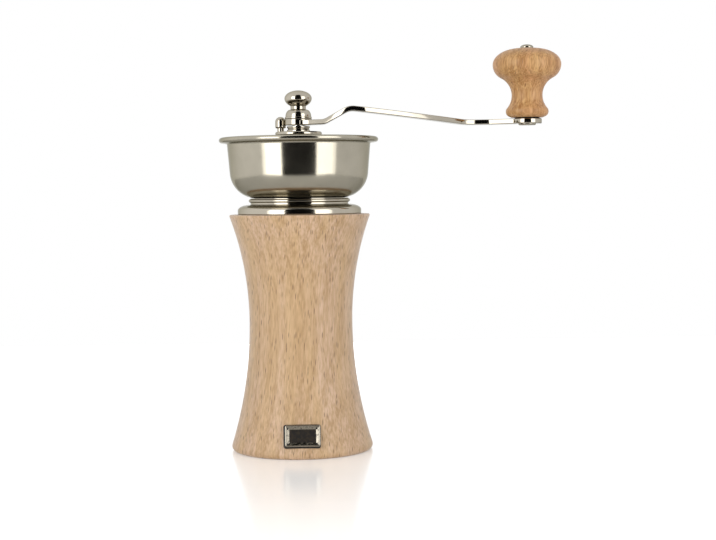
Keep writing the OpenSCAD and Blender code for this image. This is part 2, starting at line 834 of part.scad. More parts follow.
module adjusting_disc() {
    groove_z = disc_top + boss_h / 2;
    color(plated)
        difference() {
            rotate_extrude()
                difference() {
                    union() {
                        translate([0, disc_z]) square([disc_d / 2, disc_t]);
                        translate([0, disc_z]) square([boss_d / 2, disc_t + boss_h]);
                    }
                    translate([disc_d / 2, disc_top]) corner_waste(disc_edge);
                    translate([disc_d / 2, disc_z]) mirror([0, 1]) corner_waste(disc_edge);
                    translate([boss_d / 2, groove_z]) circle(boss_groove, $fn = 32);
                }
            translate([0, 0, disc_z - past])
                cylinder(h = disc_t + boss_h + 2 * past, r = spindle_r + running_gap);
            on_disc()
                translate([0, 0, -disc_t - past]) cylinder(h = disc_t + 2 * past, r = stud_tail_r + press_gap);
        }
}

// Place of the little knob on the adjusting disc
module on_disc() {
    rotate(stud_angle) translate([stud_reach, 0, disc_top]) children();
}

module adjuster_knob() {
    dome = stud_r - side_gap;
    color(plated)
        on_disc() {
            translate([0, 0, tail_short - disc_t]) cylinder(h = disc_t, r = stud_tail_r);
            rotate_extrude()
                difference() {
                    union() {
                        square([stud_neck_d / 2, stud_h / 2]);
                        translate([0, stud_neck_h]) square([stud_r, stud_h - stud_neck_h]);
                    }
                    translate([stud_r, stud_h]) corner_waste(dome);
                    translate([stud_r, stud_neck_h]) mirror([0, 1]) corner_waste(stud_edge);
                }
        }
}

module spindle() {
    cone_top = burr_z + cone_h;
    color(steel)
        difference() {
            union() {
                translate([0, 0, spindle_z]) cylinder(h = burr_z - spindle_z + past, r = thread_r);
                translate([0, 0, burr_z]) cylinder(h = hub_z - burr_z, r = spindle_r);
                translate([0, 0, cone_top]) cylinder(h = shoulder_h, d = shoulder_d);
                translate([0, 0, hub_z - past]) cylinder(h = hub_h + past, r = tang_r);
                translate([0, 0, hub_top - past]) cylinder(h = finial_thread - end_gap + past, r = finial_thread_r);
            }
            spindle_flat_cut(flat_x, burr_z, cone_h);
            spindle_flat_cut(flat_x, bush_top - end_gap, hub_z - bush_top + end_gap);
            spindle_flat_cut(tang_flat_x, hub_z, hub_h);
        }
}

module spindle_flat_cut(flat, z, h) {
    translate([-flat - spindle_r, -spindle_r, z]) cube([spindle_r, spindle_d, h]);
}

module inner_burr() {
    low = [exit_r - grind_gap, burr_z];
    middle = [fine_r - grind_gap, burr_z + fine_h];
    high = [cone_top_d / 2, burr_z + cone_h];
    out = [cone_flute_out, 0];
    color(dark_steel)
        difference() {
            rotate_extrude() polygon([[0, burr_z], low, middle, high, [0, high.y]]);
            keyed_bore(spindle_r + press_gap, flat_x + press_gap, burr_z - past, cone_h + 2 * past);
            tooth_gaps(fine_teeth, low, middle, fine_groove, tooth_lean, fine_h + tooth_run);
            tooth_gaps(
                coarse_flutes, middle + out, high + out, cone_flute, tooth_lean, cone_h + tooth_run,
                cone_flute_turn
            );
        }
}

module burr_washer() {
    color(steel)
        translate([0, 0, burr_z - burr_washer_t])
            difference() {
                cylinder(h = burr_washer_t, d = burr_washer_d);
                translate([0, 0, -past]) cylinder(h = burr_washer_t + 2 * past, r = thread_r + press_gap);
            }
}

module burr_nut() {
    color(steel)
        translate([0, 0, burr_z - burr_washer_t - nut_h])
            difference() {
                cylinder(h = nut_h, d = nut_w / cos(30), $fn = 6);
                translate([0, 0, -past]) cylinder(h = nut_h + 2 * past, r = thread_r + press_gap);
            }
}

// The arm seen from above: a straight, the three arcs of the S, a straight, and the eyes
module arm_outline() {
    in_centre = lead_end + arm_bend_in * across_heading(-arm_lead_turn);
    bow_centre = bow_start + arm_bow_r * across_heading(arm_bow_from);
    out_centre = bow_end - arm_bend_out * across_heading(arm_bow_turn);
    bend_in = arc(in_centre, arm_bend_in, -90 - arm_lead_turn, arm_bow_from - 90);
    bow = arc(bow_centre, arm_bow_r, arm_bow_from - 90, arm_bow_turn - 90);
    bend_out = arc(out_centre, arm_bend_out, 90 + arm_bow_turn, 90 - arm_tail_turn, 2 * corner_steps);
    strip(concat([[0, 0]], bend_in, rest(bow), rest(bend_out), [[arm_reach, arm_sweep]]), arm_w);
    circle(d = hub_d);
    translate([arm_reach, arm_sweep]) circle(d = eye_d);
}

module crank_arm() {
    path = bent(
        [
            [-hub_d, arm_z], [arm_kick, arm_z], [arm_crest, arm_z + arm_rise],
            [arm_level, eye_z], [arm_reach + eye_d, eye_z]
        ],
        [arm_bend_up, arm_bend_crest, arm_bend_level]
    );
    color(plated)
        difference() {
            union() {
                intersection() {
                    across(2 * (arm_bow_r + eye_d)) strip(path, arm_t);
                    translate([0, 0, hub_z - past])
                        linear_extrude(arm_rise + 2 * arm_t + 2 * past) arm_outline();
                }
                translate([0, 0, hub_z])
                    rotate_extrude()
                        difference() {
                            square([hub_d / 2, hub_h]);
                            translate([hub_d / 2, hub_h]) corner_waste(hub_edge);
                        }
            }
            keyed_bore(tang_r + press_gap, tang_flat_x + press_gap, hub_z - past, hub_h + 2 * past);
            on_crank_pin(eye_z - arm_t) cylinder(h = 2 * arm_t, r = crank_pin_r + press_gap);
        }
}

// The axis of the knob, at a height
module on_crank_pin(z) {
    translate([arm_reach, arm_sweep, z]) children();
}

// Half outline of the finial: a ring, a bell, a waist and a ball that is fuller below than above
function finial_outline() =
    let (
        ring = [finial_ring_d / 2, finial_ring_h],
        neck_r = finial_neck_d / 2,
        bell_top = finial_ring_h + finial_bell_h,
        bell = [finial_bell_d / 2 - neck_r, finial_bell_h],
        ball_r = finial_d / 2,
        start = acos(neck_r / ball_r),
        ball_z = bell_top + finial_neck_h + finial_under * sin(start)
    )
    concat(
        [[0, 0]],
        arc([ring.x - finial_ring_edge, finial_ring_edge], finial_ring_edge, -90, 0, 4),
        arc(ring - finial_ring_edge * [1, 1], finial_ring_edge, 0, 90, 4),
        oval([neck_r, finial_ring_h], bell.x, bell.y, 0, 90),
        oval([0, ball_z], ball_r, finial_under, -start, 0),
        rest(oval([0, ball_z], ball_r, finial_crown, 0, 90))
    );

module finial_nut() {
    color(plated)
        translate([0, 0, hub_top])
            difference() {
                rotate_extrude() polygon(finial_outline());
                translate([0, 0, -past]) cylinder(h = finial_thread + past, r = finial_thread_r + press_gap);
            }
}

module crank_pin() {
    pin_top = knob_z + knob_h + face_gap;
    color(plated)
        on_crank_pin(0) {
            translate([0, 0, eye_z - arm_t / 2 - rivet_h])
                cylinder(h = pin_top - eye_z + arm_t / 2 + rivet_h + crank_pin_head_h / 2, r = crank_pin_r);
            translate([0, 0, eye_z - arm_t / 2 - rivet_h])
                cylinder(h = rivet_h, d1 = rivet_d - 2 * rivet_h, d2 = rivet_d);
            translate([0, 0, pin_top])
                rotate_extrude()
                    difference() {
                        square([crank_pin_head_d / 2, crank_pin_head_h]);
                        translate([crank_pin_head_d / 2, crank_pin_head_h]) corner_waste(crank_pin_dome);
                    }
        }
}

module knob_washer() {
    color(dark_steel)
        on_crank_pin(eye_top + face_gap)
            difference() {
                cylinder(h = knob_washer_t, d = knob_washer_d);
                translate([0, 0, -past]) cylinder(h = knob_washer_t + 2 * past, r = crank_pin_r + running_gap);
            }
}

module knob_sleeve() {
    color(brass)
        on_crank_pin(knob_z)
            difference() {
                cylinder(h = knob_h, r = sleeve_r);
                translate([0, 0, -past]) cylinder(h = knob_h + 2 * past, r = crank_pin_r + running_gap);
            }
}

// Half outline of the knob: a bead at the foot, a hollow waist and a full head with an oval crown.
// The bead and the head's underside run smoothly into the hollow, which sets their heights
function knob_outline() =
    let (
        hollow = [knob_waist_d / 2 + knob_hollow, knob_waist_z],
        bead_x = knob_foot_d / 2 - knob_edge,
        bead = [bead_x, hollow.y - side(knob_hollow + knob_edge, hollow.x - bead_x)],
        under_x = knob_d / 2 - knob_under,
        under = [under_x, hollow.y + side(knob_hollow + knob_under, hollow.x - under_x)],
        to_bead = atan2(bead.y - hollow.y, bead.x - hollow.x),
        to_under = atan2(under.y - hollow.y, under.x - hollow.x),
        flat_r = knob_flat_d / 2
    )
    concat(
        [[0, 0], [bead.x, 0]],
        arc(bead, knob_edge, -60, to_bead + 180),
        rest(arc(hollow, knob_hollow, to_bead + 360, to_under, 2 * corner_steps)),
        rest(arc(under, knob_under, to_under - 180, 0)),
        rest(oval([flat_r, under.y], knob_d / 2 - flat_r, knob_h - under.y, 0, 90, 2 * corner_steps)),
        [[0, knob_h]]
    );

module crank_knob() {
    color(knob_wood)
        on_crank_pin(knob_z)
            difference() {
                rotate_extrude() polygon(knob_outline());
                translate([0, 0, -past]) cylinder(h = knob_h + 2 * past, r = sleeve_r + press_gap);
            }
}

wooden_body();
name_plate();
plate_pins();
head_collar();
collar_seal();
hopper_bowl();
bridge();
bridge_screws();
floor_screws();
bridge_bush();
outer_burr();
lower_bracket();
bracket_screws();
lower_bush();
drive_washer();
adjusting_disc();
adjuster_knob();
spindle();
inner_burr();
burr_washer();
burr_nut();
crank_arm();
finial_nut();
crank_pin();
knob_washer();
knob_sleeve();
crank_knob();
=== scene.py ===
# A hand-cranked coffee mill: a waisted beech body, a plated metal head with conical burrs, and an
# S-shaped crank with a turned wooden knob. The mill's lengths are in millimetres until a mesh is
# made, and the studio's are in metres.
import math

import bmesh
import bpy
from mathutils import Matrix, Vector


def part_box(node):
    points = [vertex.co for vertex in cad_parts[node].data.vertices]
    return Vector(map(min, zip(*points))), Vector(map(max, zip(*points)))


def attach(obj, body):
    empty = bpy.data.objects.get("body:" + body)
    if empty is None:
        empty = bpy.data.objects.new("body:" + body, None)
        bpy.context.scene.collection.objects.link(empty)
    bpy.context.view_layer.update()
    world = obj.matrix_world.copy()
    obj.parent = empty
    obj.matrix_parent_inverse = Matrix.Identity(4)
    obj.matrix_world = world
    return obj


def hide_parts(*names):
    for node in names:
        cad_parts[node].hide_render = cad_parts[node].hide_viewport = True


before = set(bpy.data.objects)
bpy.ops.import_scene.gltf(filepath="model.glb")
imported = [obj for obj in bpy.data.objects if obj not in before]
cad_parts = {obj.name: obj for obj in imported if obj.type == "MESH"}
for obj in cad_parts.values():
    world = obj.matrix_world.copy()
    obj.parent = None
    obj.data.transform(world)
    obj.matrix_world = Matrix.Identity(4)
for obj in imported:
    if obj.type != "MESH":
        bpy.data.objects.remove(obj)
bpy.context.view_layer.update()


# Wooden body
# A waisted cylinder of steamed beech, turned from one block with its grain upright and bored out
# to catch the ground coffee. It is sanded smooth and oiled, so it has a low satin sheen.
MM = 0.001
WELD = 0.001 * MM
SHARP = 35
BODY_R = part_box("wooden_body")[1].x / MM
BODY_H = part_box("wooden_body")[1].z / MM
WAIST_R = 28.8
WAIST_Z = 72.4
FOOT_BAND = 3
FOOT_ROUND = 2.5
TOP_ROUND = 0.8
TOP_ROUND_FROM = 12
BORE_R = 25.75
BORE_Z = 110.3
BORE_ROUND = 0.5
CHAMBER_R = 22
CHAMBER_Z = 10
CHAMBER_ROUND = 3
WAIST_IN = BODY_R - WAIST_R
UPPER_ARC = ((BODY_H - WAIST_Z) ** 2 + WAIST_IN**2) / (2 * WAIST_IN)
LOWER_ARC = ((WAIST_Z - FOOT_BAND) ** 2 + WAIST_IN**2) / (2 * WAIST_IN)
GRAIN_LEAN = -2.5
BAND_SIZE = (5, 5, 300)
TINT_SIZE = (11, 11, 500)
FIBRE_SIZE = (0.8, 0.8, 8)
RAY_SIZE = (0.8, 2.6, 6)
RING_STEP = 4
PITH = (-75, 50)
RING_WAVER_ALONG = 0.04


def linear(hex_colour):
    """Linear RGBA of an sRGB hex colour."""
    parts = [int(hex_colour[i:i + 2], 16) / 255 for i in (0, 2, 4)]
    return [p / 12.92 if p <= 0.04045 else ((p + 0.055) / 1.055) ** 2.4 for p in parts] + [1]


def add(tree, kind, inputs=None, **settings):
    """Adds a node with its settings. An input is a value, or the socket that feeds it."""
    made = tree.nodes.new(kind)
    for name, value in settings.items():
        setattr(made, name, value)
    for key, value in (inputs or {}).items():
        if isinstance(value, bpy.types.NodeSocket):
            tree.links.new(value, made.inputs[key])
        else:
            made.inputs[key].default_value = value
    return made


def new_material(name):
    """A material, its node tree, its shader and its Object coordinates."""
    made = bpy.data.materials.new(name)
    made.use_nodes = True
    tree = made.node_tree
    position = add(tree, "ShaderNodeTexCoord").outputs["Object"]
    return made, tree, tree.nodes["Principled BSDF"], position


def beech(name, pale, dark, red, fleck, grain, fleck_share, nap):
    """Steamed beech with upright grain: soft growth bands, fine fibres and short dark ray flecks.
    Grain is the bands' strength, fleck_share the share of rays that show, and nap the sheen."""
    made, tree, shader, position = new_material(name)

    # The grain leans a little to the right as it climbs
    leaning = add(
        tree, "ShaderNodeMapping",
        {"Vector": position, "Rotation": (0, math.radians(GRAIN_LEAN), 0)},
    )

    def stretched(size):
        scale = [1 / (length * MM) for length in size]
        stretch = add(
            tree, "ShaderNodeMapping", {"Vector": leaning.outputs[0], "Scale": scale},
        )
        return stretch.outputs[0]

    bands = add(
        tree, "ShaderNodeTexNoise", {"Vector": stretched(BAND_SIZE), "Scale": 1, "Detail": 3},
    )
    tint = add(
        tree, "ShaderNodeTexNoise", {"Vector": stretched(TINT_SIZE), "Scale": 1, "Detail": 2},
    )
    fibre = add(
        tree, "ShaderNodeTexNoise", {"Vector": stretched(FIBRE_SIZE), "Scale": 1, "Detail": 3},
    )
    # The block's pith lies outside it, so the growth rings cross it as gentle arcs. Their waver is
    # drawn out along the grain. A wave texture turns through 20 radians in each unit of its scale
    off_pith = add(
        tree, "ShaderNodeMapping",
        {"Vector": position, "Location": (-PITH[0] * MM, -PITH[1] * MM, 0),
         "Scale": (1, 1, RING_WAVER_ALONG)},
    )
    rings = add(
        tree, "ShaderNodeTexWave",
        {"Vector": off_pith.outputs[0], "Scale": math.tau / 20 / (RING_STEP * MM),
         "Distortion": 5, "Detail": 2, "Detail Scale": 0.25},
        wave_type="RINGS", rings_direction="Z",
    )
    # Rays are thin upright blades that run towards the pith, so they show as dashes from the front
    rays = add(
        tree, "ShaderNodeTexVoronoi",
        {"Vector": stretched(RAY_SIZE), "Scale": 1, "Randomness": 1},
    )
    chance = add(tree, "ShaderNodeSeparateColor", {"Color": rays.outputs["Color"]})
    blade = add(
        tree, "ShaderNodeMapRange",
        {"Value": rays.outputs["Distance"], "From Min": 0.42, "From Max": 0.14},
        interpolation_type="SMOOTHSTEP",
    )
    strong = add(
        tree, "ShaderNodeMapRange",
        {"Value": chance.outputs[0], "From Min": 1 - fleck_share, "From Max": 1, "To Min": 0.05,
         "To Max": 0.9},
    )
    shown = add(
        tree, "ShaderNodeMath", {0: chance.outputs[0], 1: 1 - fleck_share},
        operation="GREATER_THAN",
    )
    shown_blade = add(
        tree, "ShaderNodeMath", {0: blade.outputs[0], 1: shown.outputs[0]}, operation="MULTIPLY",
    )
    fleck_amount = add(
        tree, "ShaderNodeMath", {0: shown_blade.outputs[0], 1: strong.outputs[0]},
        operation="MULTIPLY",
    )

    band_amount = add(
        tree, "ShaderNodeMapRange",
        {"Value": bands.outputs[0], "From Min": 0.32, "From Max": 0.68, "To Max": grain},
    )
    ring_amount = add(
        tree, "ShaderNodeMapRange", {"Value": rings.outputs[1], "To Max": grain * 0.5},
    )
    fibre_amount = add(
        tree, "ShaderNodeMapRange",
        {"Value": fibre.outputs[0], "From Min": 0.3, "From Max": 0.7, "To Min": -0.85 * grain,
         "To Max": 1.2 * grain},
    )
    tint_amount = add(
        tree, "ShaderNodeMapRange",
        {"Value": tint.outputs[0], "From Min": 0.4, "From Max": 0.6},
    )
    growth = add(
        tree, "ShaderNodeMath", {0: band_amount.outputs[0], 1: ring_amount.outputs[0]},
        operation="ADD",
    )
    darkness = add(
        tree, "ShaderNodeMath", {0: growth.outputs[0], 1: fibre_amount.outputs[0]},
        operation="ADD", use_clamp=True,
    )
    warm = add(
        tree, "ShaderNodeMix", {0: tint_amount.outputs[0], 6: linear(pale), 7: linear(red)},
        data_type="RGBA",
    )
    wood = add(
        tree, "ShaderNodeMix", {0: darkness.outputs[0], 6: warm.outputs[2], 7: linear(dark)},
        data_type="RGBA",
    )
    flecked = add(
        tree, "ShaderNodeMix", {0: fleck_amount.outputs[0], 6: wood.outputs[2], 7: linear(fleck)},
        data_type="RGBA",
    )
    tree.links.new(flecked.outputs[2], shader.inputs["Base Color"])

    # Sanding leaves a nap too short to see, which pales the wood where it turns away
    shader.inputs["Sheen Weight"].default_value = nap
    gloss = add(
        tree, "ShaderNodeMapRange",
        {"Value": fibre.outputs[0], "From Min": 0.3, "From Max": 0.7, "To Min": 0.4,
         "To Max": 0.52},
    )
    tree.links.new(gloss.outputs[0], shader.inputs["Roughness"])
    height = add(
        tree, "ShaderNodeMath", {0: fleck_amount.outputs[0], 1: -0.6, 2: fibre.outputs[0]},
        operation="MULTIPLY_ADD",
    )
    bump = add(
        tree, "ShaderNodeBump",
        {"Height": height.outputs[0], "Strength": 0.25, "Distance": 0.06 * MM},
    )
    tree.links.new(bump.outputs[0], shader.inputs["Normal"])
    return made


def oval(r, z, across, up, start, end, steps=20):
    """Outline points on an oval round (r, z), from one angle in degrees to another."""
    angles = [math.radians(start + (end - start) * i / steps) for i in range(steps + 1)]
    return [(r + across * math.cos(a), z + up * math.sin(a)) for a in angles]


def arc(r, z, radius, start, end, steps=12):
    """Outline points on an arc round (r, z), from one angle in degrees to another."""
    return oval(r, z, radius, radius, start, end, steps)


def turned(outline, centre=(0, 0), steps=192):
    """A lathe-turned solid: a closed half outline of (radius, height) points spun round an upright
    axis. Edges that lie on the axis are left out, because they would make no surface."""
    made = bmesh.new()
    x, y = (c * MM for c in centre)
    points = [made.verts.new((x + r * MM, y, z * MM)) for r, z in outline]
    pairs = zip(points, points[1:] + points[:1])
    edges = [made.edges.new(pair) for pair in pairs if max(p.co.x for p in pair) - x > WELD]
    bmesh.ops.spin(
        made, geom=points + edges, cent=(x, y, 0), axis=(0, 0, 1), angle=math.tau, steps=steps,
        use_merge=True,
    )
    bmesh.ops.remove_doubles(made, verts=made.verts, dist=WELD)
    bmesh.ops.recalc_face_normals(made, faces=made.faces)
    return made


def place(name, made, materials, body, node):
    """Makes a piece that rides on a body, takes a material slot and stands for a CAD node."""
    mesh = bpy.data.meshes.new(name)
    made.to_mesh(mesh)
    made.free()
    mesh.shade_smooth()
    mesh.set_sharp_from_angle(angle=math.radians(SHARP))
    for material in materials:
        mesh.materials.append(material)
    piece = bpy.data.objects.new(name, mesh)
    bpy.context.scene.collection.objects.link(piece)
    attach(piece, body)
    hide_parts(node)


body_beech = beech(
    "oiled_beech", pale="d7b488", dark="b89265", red="dcbb9b", fleck="755033", grain=0.45,
    fleck_share=0.55, nap=0.4,
)
foot_angle = math.degrees(math.asin((WAIST_Z - FOOT_BAND) / LOWER_ARC))
rim_angle = math.degrees(math.asin((BODY_H - TOP_ROUND - WAIST_Z) / UPPER_ARC))
rim_r = WAIST_R + UPPER_ARC * (1 - math.cos(math.radians(rim_angle)))
body_outline = (
    [(0, 0)]
    + arc(BODY_R - FOOT_ROUND, FOOT_ROUND, FOOT_ROUND, -90, 0)
    + arc(WAIST_R + LOWER_ARC, WAIST_Z, LOWER_ARC, 180 + foot_angle, 180, steps=40)
    + arc(WAIST_R + UPPER_ARC, WAIST_Z, UPPER_ARC, 180, 180 - rim_angle, steps=40)[1:]
    + arc(rim_r - TOP_ROUND, BODY_H - TOP_ROUND, TOP_ROUND, TOP_ROUND_FROM, 90, steps=8)
    + arc(BORE_R + BORE_ROUND, BODY_H - BORE_ROUND, BORE_ROUND, 90, 180, steps=6)
    + [(BORE_R, BORE_Z), (CHAMBER_R, BORE_Z)]
    + arc(CHAMBER_R - CHAMBER_ROUND, CHAMBER_Z + CHAMBER_ROUND, CHAMBER_ROUND, 0, -90)
    + [(0, CHAMBER_Z)]
)
place("turned_body", turned(body_outline), [body_beech], "body", "wooden_body")


# Name plate
# A small blank plate of die-cast zinc. A nickel-plated bead runs round a worn border, which slopes
# down to a sunk, blackened panel. Four blackened steel pins hold it to the wood.
# Its sides are dark pin steel: painted shade for the shadow gap round it, wider at the left and
# bottom.
PLATE_W = 20.2
PLATE_H = 12.8
PLATE_Z = 12.6
PLATE_T = 1.3
PLATE_BACK = 1.9
PLATE_CORNER = 1.3
PLATE_DRAFT = 0.6
PLATE_SIDE = 0.5
CORNER_EASE = 0.6
CORNER_STEPS = 6
# Sets the border right of and above the middle, so the painted shadow on the sides is wider at the
# left and bottom
BORDER_SHIFT_WIDENING_SHADE = (0.3, 0.2)
BORDER_BEAD_W = 0.8
BORDER_BEAD_H = 0.35
BORDER_BEAD_STEPS = 8
BORDER_SINK = 0.75
PANEL_INSET = 3
PANEL_DROP = 0.95
PANEL_STEP = 0.15
PANEL_CORNER = 0.3
PIN_INSET = 2.2
PIN_R = 0.62
PIN_TIP_R = 0.31
PIN_TIP_H = 1
PIN_DEPTH = 6
PIN_SINK = 0.45
SMUDGE_SIZE = 11
PATCH_SIZE = 1.3
PATCH_BLEND = 0.18


def nickel(name, colour, roughness, centre=(0, 0), smudge=0.04, line=0.22, depth=0.02, brushed=0):
    """Bright nickel plate over turned metal: warm grey, with polishing lines round an upright axis.
    Real lines are finer: these are as coarse as they need to show. Smudge spreads the gloss."""
    made, tree, shader, position = new_material(name)
    at_axis = add(
        tree, "ShaderNodeMapping",
        {"Vector": position, "Location": (-centre[0] * MM, -centre[1] * MM, 0)},
    )
    parts = add(tree, "ShaderNodeSeparateXYZ", {0: at_axis.outputs[0]})
    flat = add(tree, "ShaderNodeCombineXYZ", {"X": parts.outputs[0], "Y": parts.outputs[1]})
    radius = add(tree, "ShaderNodeVectorMath", {0: flat.outputs[0]}, operation="LENGTH")
    across = add(
        tree, "ShaderNodeCombineXYZ", {"X": radius.outputs["Value"], "Z": parts.outputs[2]},
    )
    lines = add(
        tree, "ShaderNodeTexNoise",
        {"Vector": across.outputs[0], "Scale": 1 / (line * MM), "Detail": 2},
    )
    clouds = add(
        tree, "ShaderNodeTexNoise",
        {"Vector": at_axis.outputs[0], "Scale": 1 / (SMUDGE_SIZE * MM), "Detail": 3},
    )
    shader.inputs["Metallic"].default_value = 1
    # Nickel stays grey at its rims, where most metals turn white
    shader.inputs["Specular Tint"].default_value = linear("c6c5bd")
    # Emery lines run round the piece, so they smear what it mirrors up and down
    shader.inputs["Anisotropic"].default_value = brushed
    shader.inputs["Anisotropic Rotation"].default_value = 0.25
    around = add(tree, "ShaderNodeTangent", direction_type="RADIAL", axis="Z")
    tree.links.new(around.outputs[0], shader.inputs["Tangent"])
    worn = add(
        tree, "ShaderNodeMapRange",
        {"Value": clouds.outputs[0], "From Min": 0.3, "From Max": 0.7, "To Min": 0.93,
         "To Max": 1.04},
    )
    tone = add(
        tree, "ShaderNodeVectorMath", {0: linear(colour)[:3], "Scale": worn.outputs[0]},
        operation="SCALE",
    )
    tree.links.new(tone.outputs[0], shader.inputs["Base Color"])
    gloss = add(
        tree, "ShaderNodeMapRange",
        {"Value": clouds.outputs[0], "From Min": 0.3, "From Max": 0.7,
         "To Min": roughness - smudge / 2, "To Max": roughness + smudge / 2},
    )
    tree.links.new(gloss.outputs[0], shader.inputs["Roughness"])
    bump = add(
        tree, "ShaderNodeBump",
        {"Height": lines.outputs[0], "Strength": depth, "Distance": 0.05 * MM},
    )
    tree.links.new(bump.outputs[0], shader.inputs["Normal"])
    return made


def blackened(name, low, high, bare, gloss=0.42, rubbed_from=0.44, pitted=0.35):
    """Metal blackened in a bath and rubbed back: mottled, dull in low places, bare in patches.
    A low rubbed_from bares more of it, and pitted is the strength of its bumps."""
    made, tree, shader, position = new_material(name)
    patches = add(
        tree, "ShaderNodeTexNoise",
        {"Vector": position, "Scale": 1 / (PATCH_SIZE * MM), "Detail": 4},
    )
    rubbed = add(
        tree, "ShaderNodeMapRange",
        {"Value": patches.outputs[0], "From Min": rubbed_from,
         "From Max": rubbed_from + PATCH_BLEND},
    )
    tone = add(
        tree, "ShaderNodeMix", {0: rubbed.outputs[0], 6: linear(low), 7: linear(high)},
        data_type="RGBA",
    )
    tree.links.new(tone.outputs[2], shader.inputs["Base Color"])
    metal = add(tree, "ShaderNodeMath", {0: rubbed.outputs[0], 1: bare}, operation="MULTIPLY")
    tree.links.new(metal.outputs[0], shader.inputs["Metallic"])
    shader.inputs["Roughness"].default_value = gloss
    bump = add(
        tree, "ShaderNodeBump",
        {"Height": patches.outputs[0], "Strength": pitted, "Distance": 0.12 * MM},
    )
    tree.links.new(bump.outputs[0], shader.inputs["Normal"])
    return made


bright_nickel = nickel("bright_nickel", "b3ac9e", roughness=0.11)
black_zinc = blackened("blackened_zinc", "17120e", "423a31", bare=0.6)
worn_zinc = blackened(
    "worn_zinc", "3a332b", "9c9587", bare=1, gloss=0.2, rubbed_from=0.3, pitted=0.06,
)
# Blackened steel for the pins and the washer, also laid on the plate's sides as painted shade
pin_steel_and_side_shade = blackened("blackened_steel_and_side_shade", "0f0d0b", "2e2a26", bare=0.8)
plate_metals = [bright_nickel, black_zinc, worn_zinc, pin_steel_and_side_shade]
plate_slope = math.asin((WAIST_Z - PLATE_Z) / LOWER_ARC)
plate_r = WAIST_R + LOWER_ARC - math.sqrt(LOWER_ARC**2 - (WAIST_Z - PLATE_Z) ** 2)
on_wood = (
    Matrix.Translation((0, -plate_r * MM, PLATE_Z * MM))
    @ Matrix.Rotation(math.pi / 2 - plate_slope, 4, "X")
)
border_z = PLATE_T - BORDER_BEAD_H


def name_plate():
    """The plate in its own frame: X along its width, Y up the wood and Z outwards. Rounded
    rectangles at its levels are bridged from the back to the sunk panel."""
    made = bmesh.new()
    bead_turns = [math.pi * i / BORDER_BEAD_STEPS for i in range(1, BORDER_BEAD_STEPS + 1)]
    bead = [
        (PLATE_DRAFT + BORDER_BEAD_W * (1 - math.cos(turn)) / 2,
         border_z + BORDER_BEAD_H * math.sin(turn))
        for turn in bead_turns
    ]
    # Each level has its inset, the radius of its corners, its height and the metal that leads to it
    # The back and the sides up to the border take the dark pin steel, as painted shade
    levels = [
        (0, PLATE_CORNER, -PLATE_BACK, pin_steel_and_side_shade),
        (0, PLATE_CORNER, border_z - PLATE_SIDE, pin_steel_and_side_shade),
        (PLATE_DRAFT, PLATE_CORNER - PLATE_DRAFT * CORNER_EASE, border_z, pin_steel_and_side_shade),
        *[(inset, PLATE_CORNER - inset * CORNER_EASE, z, bright_nickel) for inset, z in bead],
        (PANEL_INSET - PANEL_STEP, PANEL_CORNER, PLATE_T - BORDER_SINK, worn_zinc),
        (PANEL_INSET, PANEL_CORNER, PLATE_T - PANEL_DROP, black_zinc),
    ]
    loops = []
    for inset, corner, z, _ in levels:
        x, y = PLATE_W / 2 - inset - corner, PLATE_H / 2 - inset - corner
        # The border and panel sit off-centre, so the painted shade on the sides is wider at the
        # left and bottom
        dx, dy = BORDER_SHIFT_WIDENING_SHADE if inset else (0, 0)
        quarters = zip((0, 90, 180, 270), ((1, 1), (-1, 1), (-1, -1), (1, -1)))
        outline = [
            point for turn, (sx, sy) in quarters
            for point in arc(sx * x + dx, sy * y + dy, corner, turn, turn + 90, CORNER_STEPS)
        ]
        loops.append([made.verts.new((px, py, z)) for px, py in outline])
    rings = [[made.edges.new(pair) for pair in zip(loop, loop[1:] + loop[:1])] for loop in loops]
    for lower, upper, (_, _, _, metal) in zip(rings, rings[1:], levels[1:]):
        for face in bmesh.ops.bridge_loops(made, edges=lower + upper)["faces"]:
            face.material_index = plate_metals.index(metal)
    for loop in (loops[0], loops[-1]):
        made.faces.new(loop).material_index = plate_metals.index(black_zinc)
    bmesh.ops.transform(made, matrix=on_wood @ Matrix.Scale(MM, 4), verts=made.verts)
    bmesh.ops.recalc_face_normals(made, faces=made.faces)
    return made


def join(made, piece):
    """Adds a finished shape to another, and frees it."""
    carrier = bpy.data.meshes.new("carrier")
    piece.to_mesh(carrier)
    piece.free()
    made.from_mesh(carrier)
    bpy.data.meshes.remove(carrier)


place("blank_plate", name_plate(), plate_metals, "body", "name_plate")

pin_outline = (
    [(0, -PIN_DEPTH), (PIN_TIP_R, -PIN_DEPTH), (PIN_R, -PIN_DEPTH + PIN_TIP_H)]
    + arc(0, border_z - PIN_SINK, PIN_R, 0, 90, steps=6)
)
pins = bmesh.new()
for pin_x in (PIN_INSET - PLATE_W / 2, PLATE_W / 2 - PIN_INSET):
    for pin_y in (PIN_INSET - PLATE_H / 2, PLATE_H / 2 - PIN_INSET):
        pin = turned(pin_outline, steps=24)
        spot = Matrix.Translation((pin_x * MM, pin_y * MM, 0))
        bmesh.ops.transform(pin, matrix=on_wood @ spot, verts=pin.verts)
        join(pins, pin)
place("plate_pin_heads", pins, [pin_steel_and_side_shade], "body", "plate_pins")


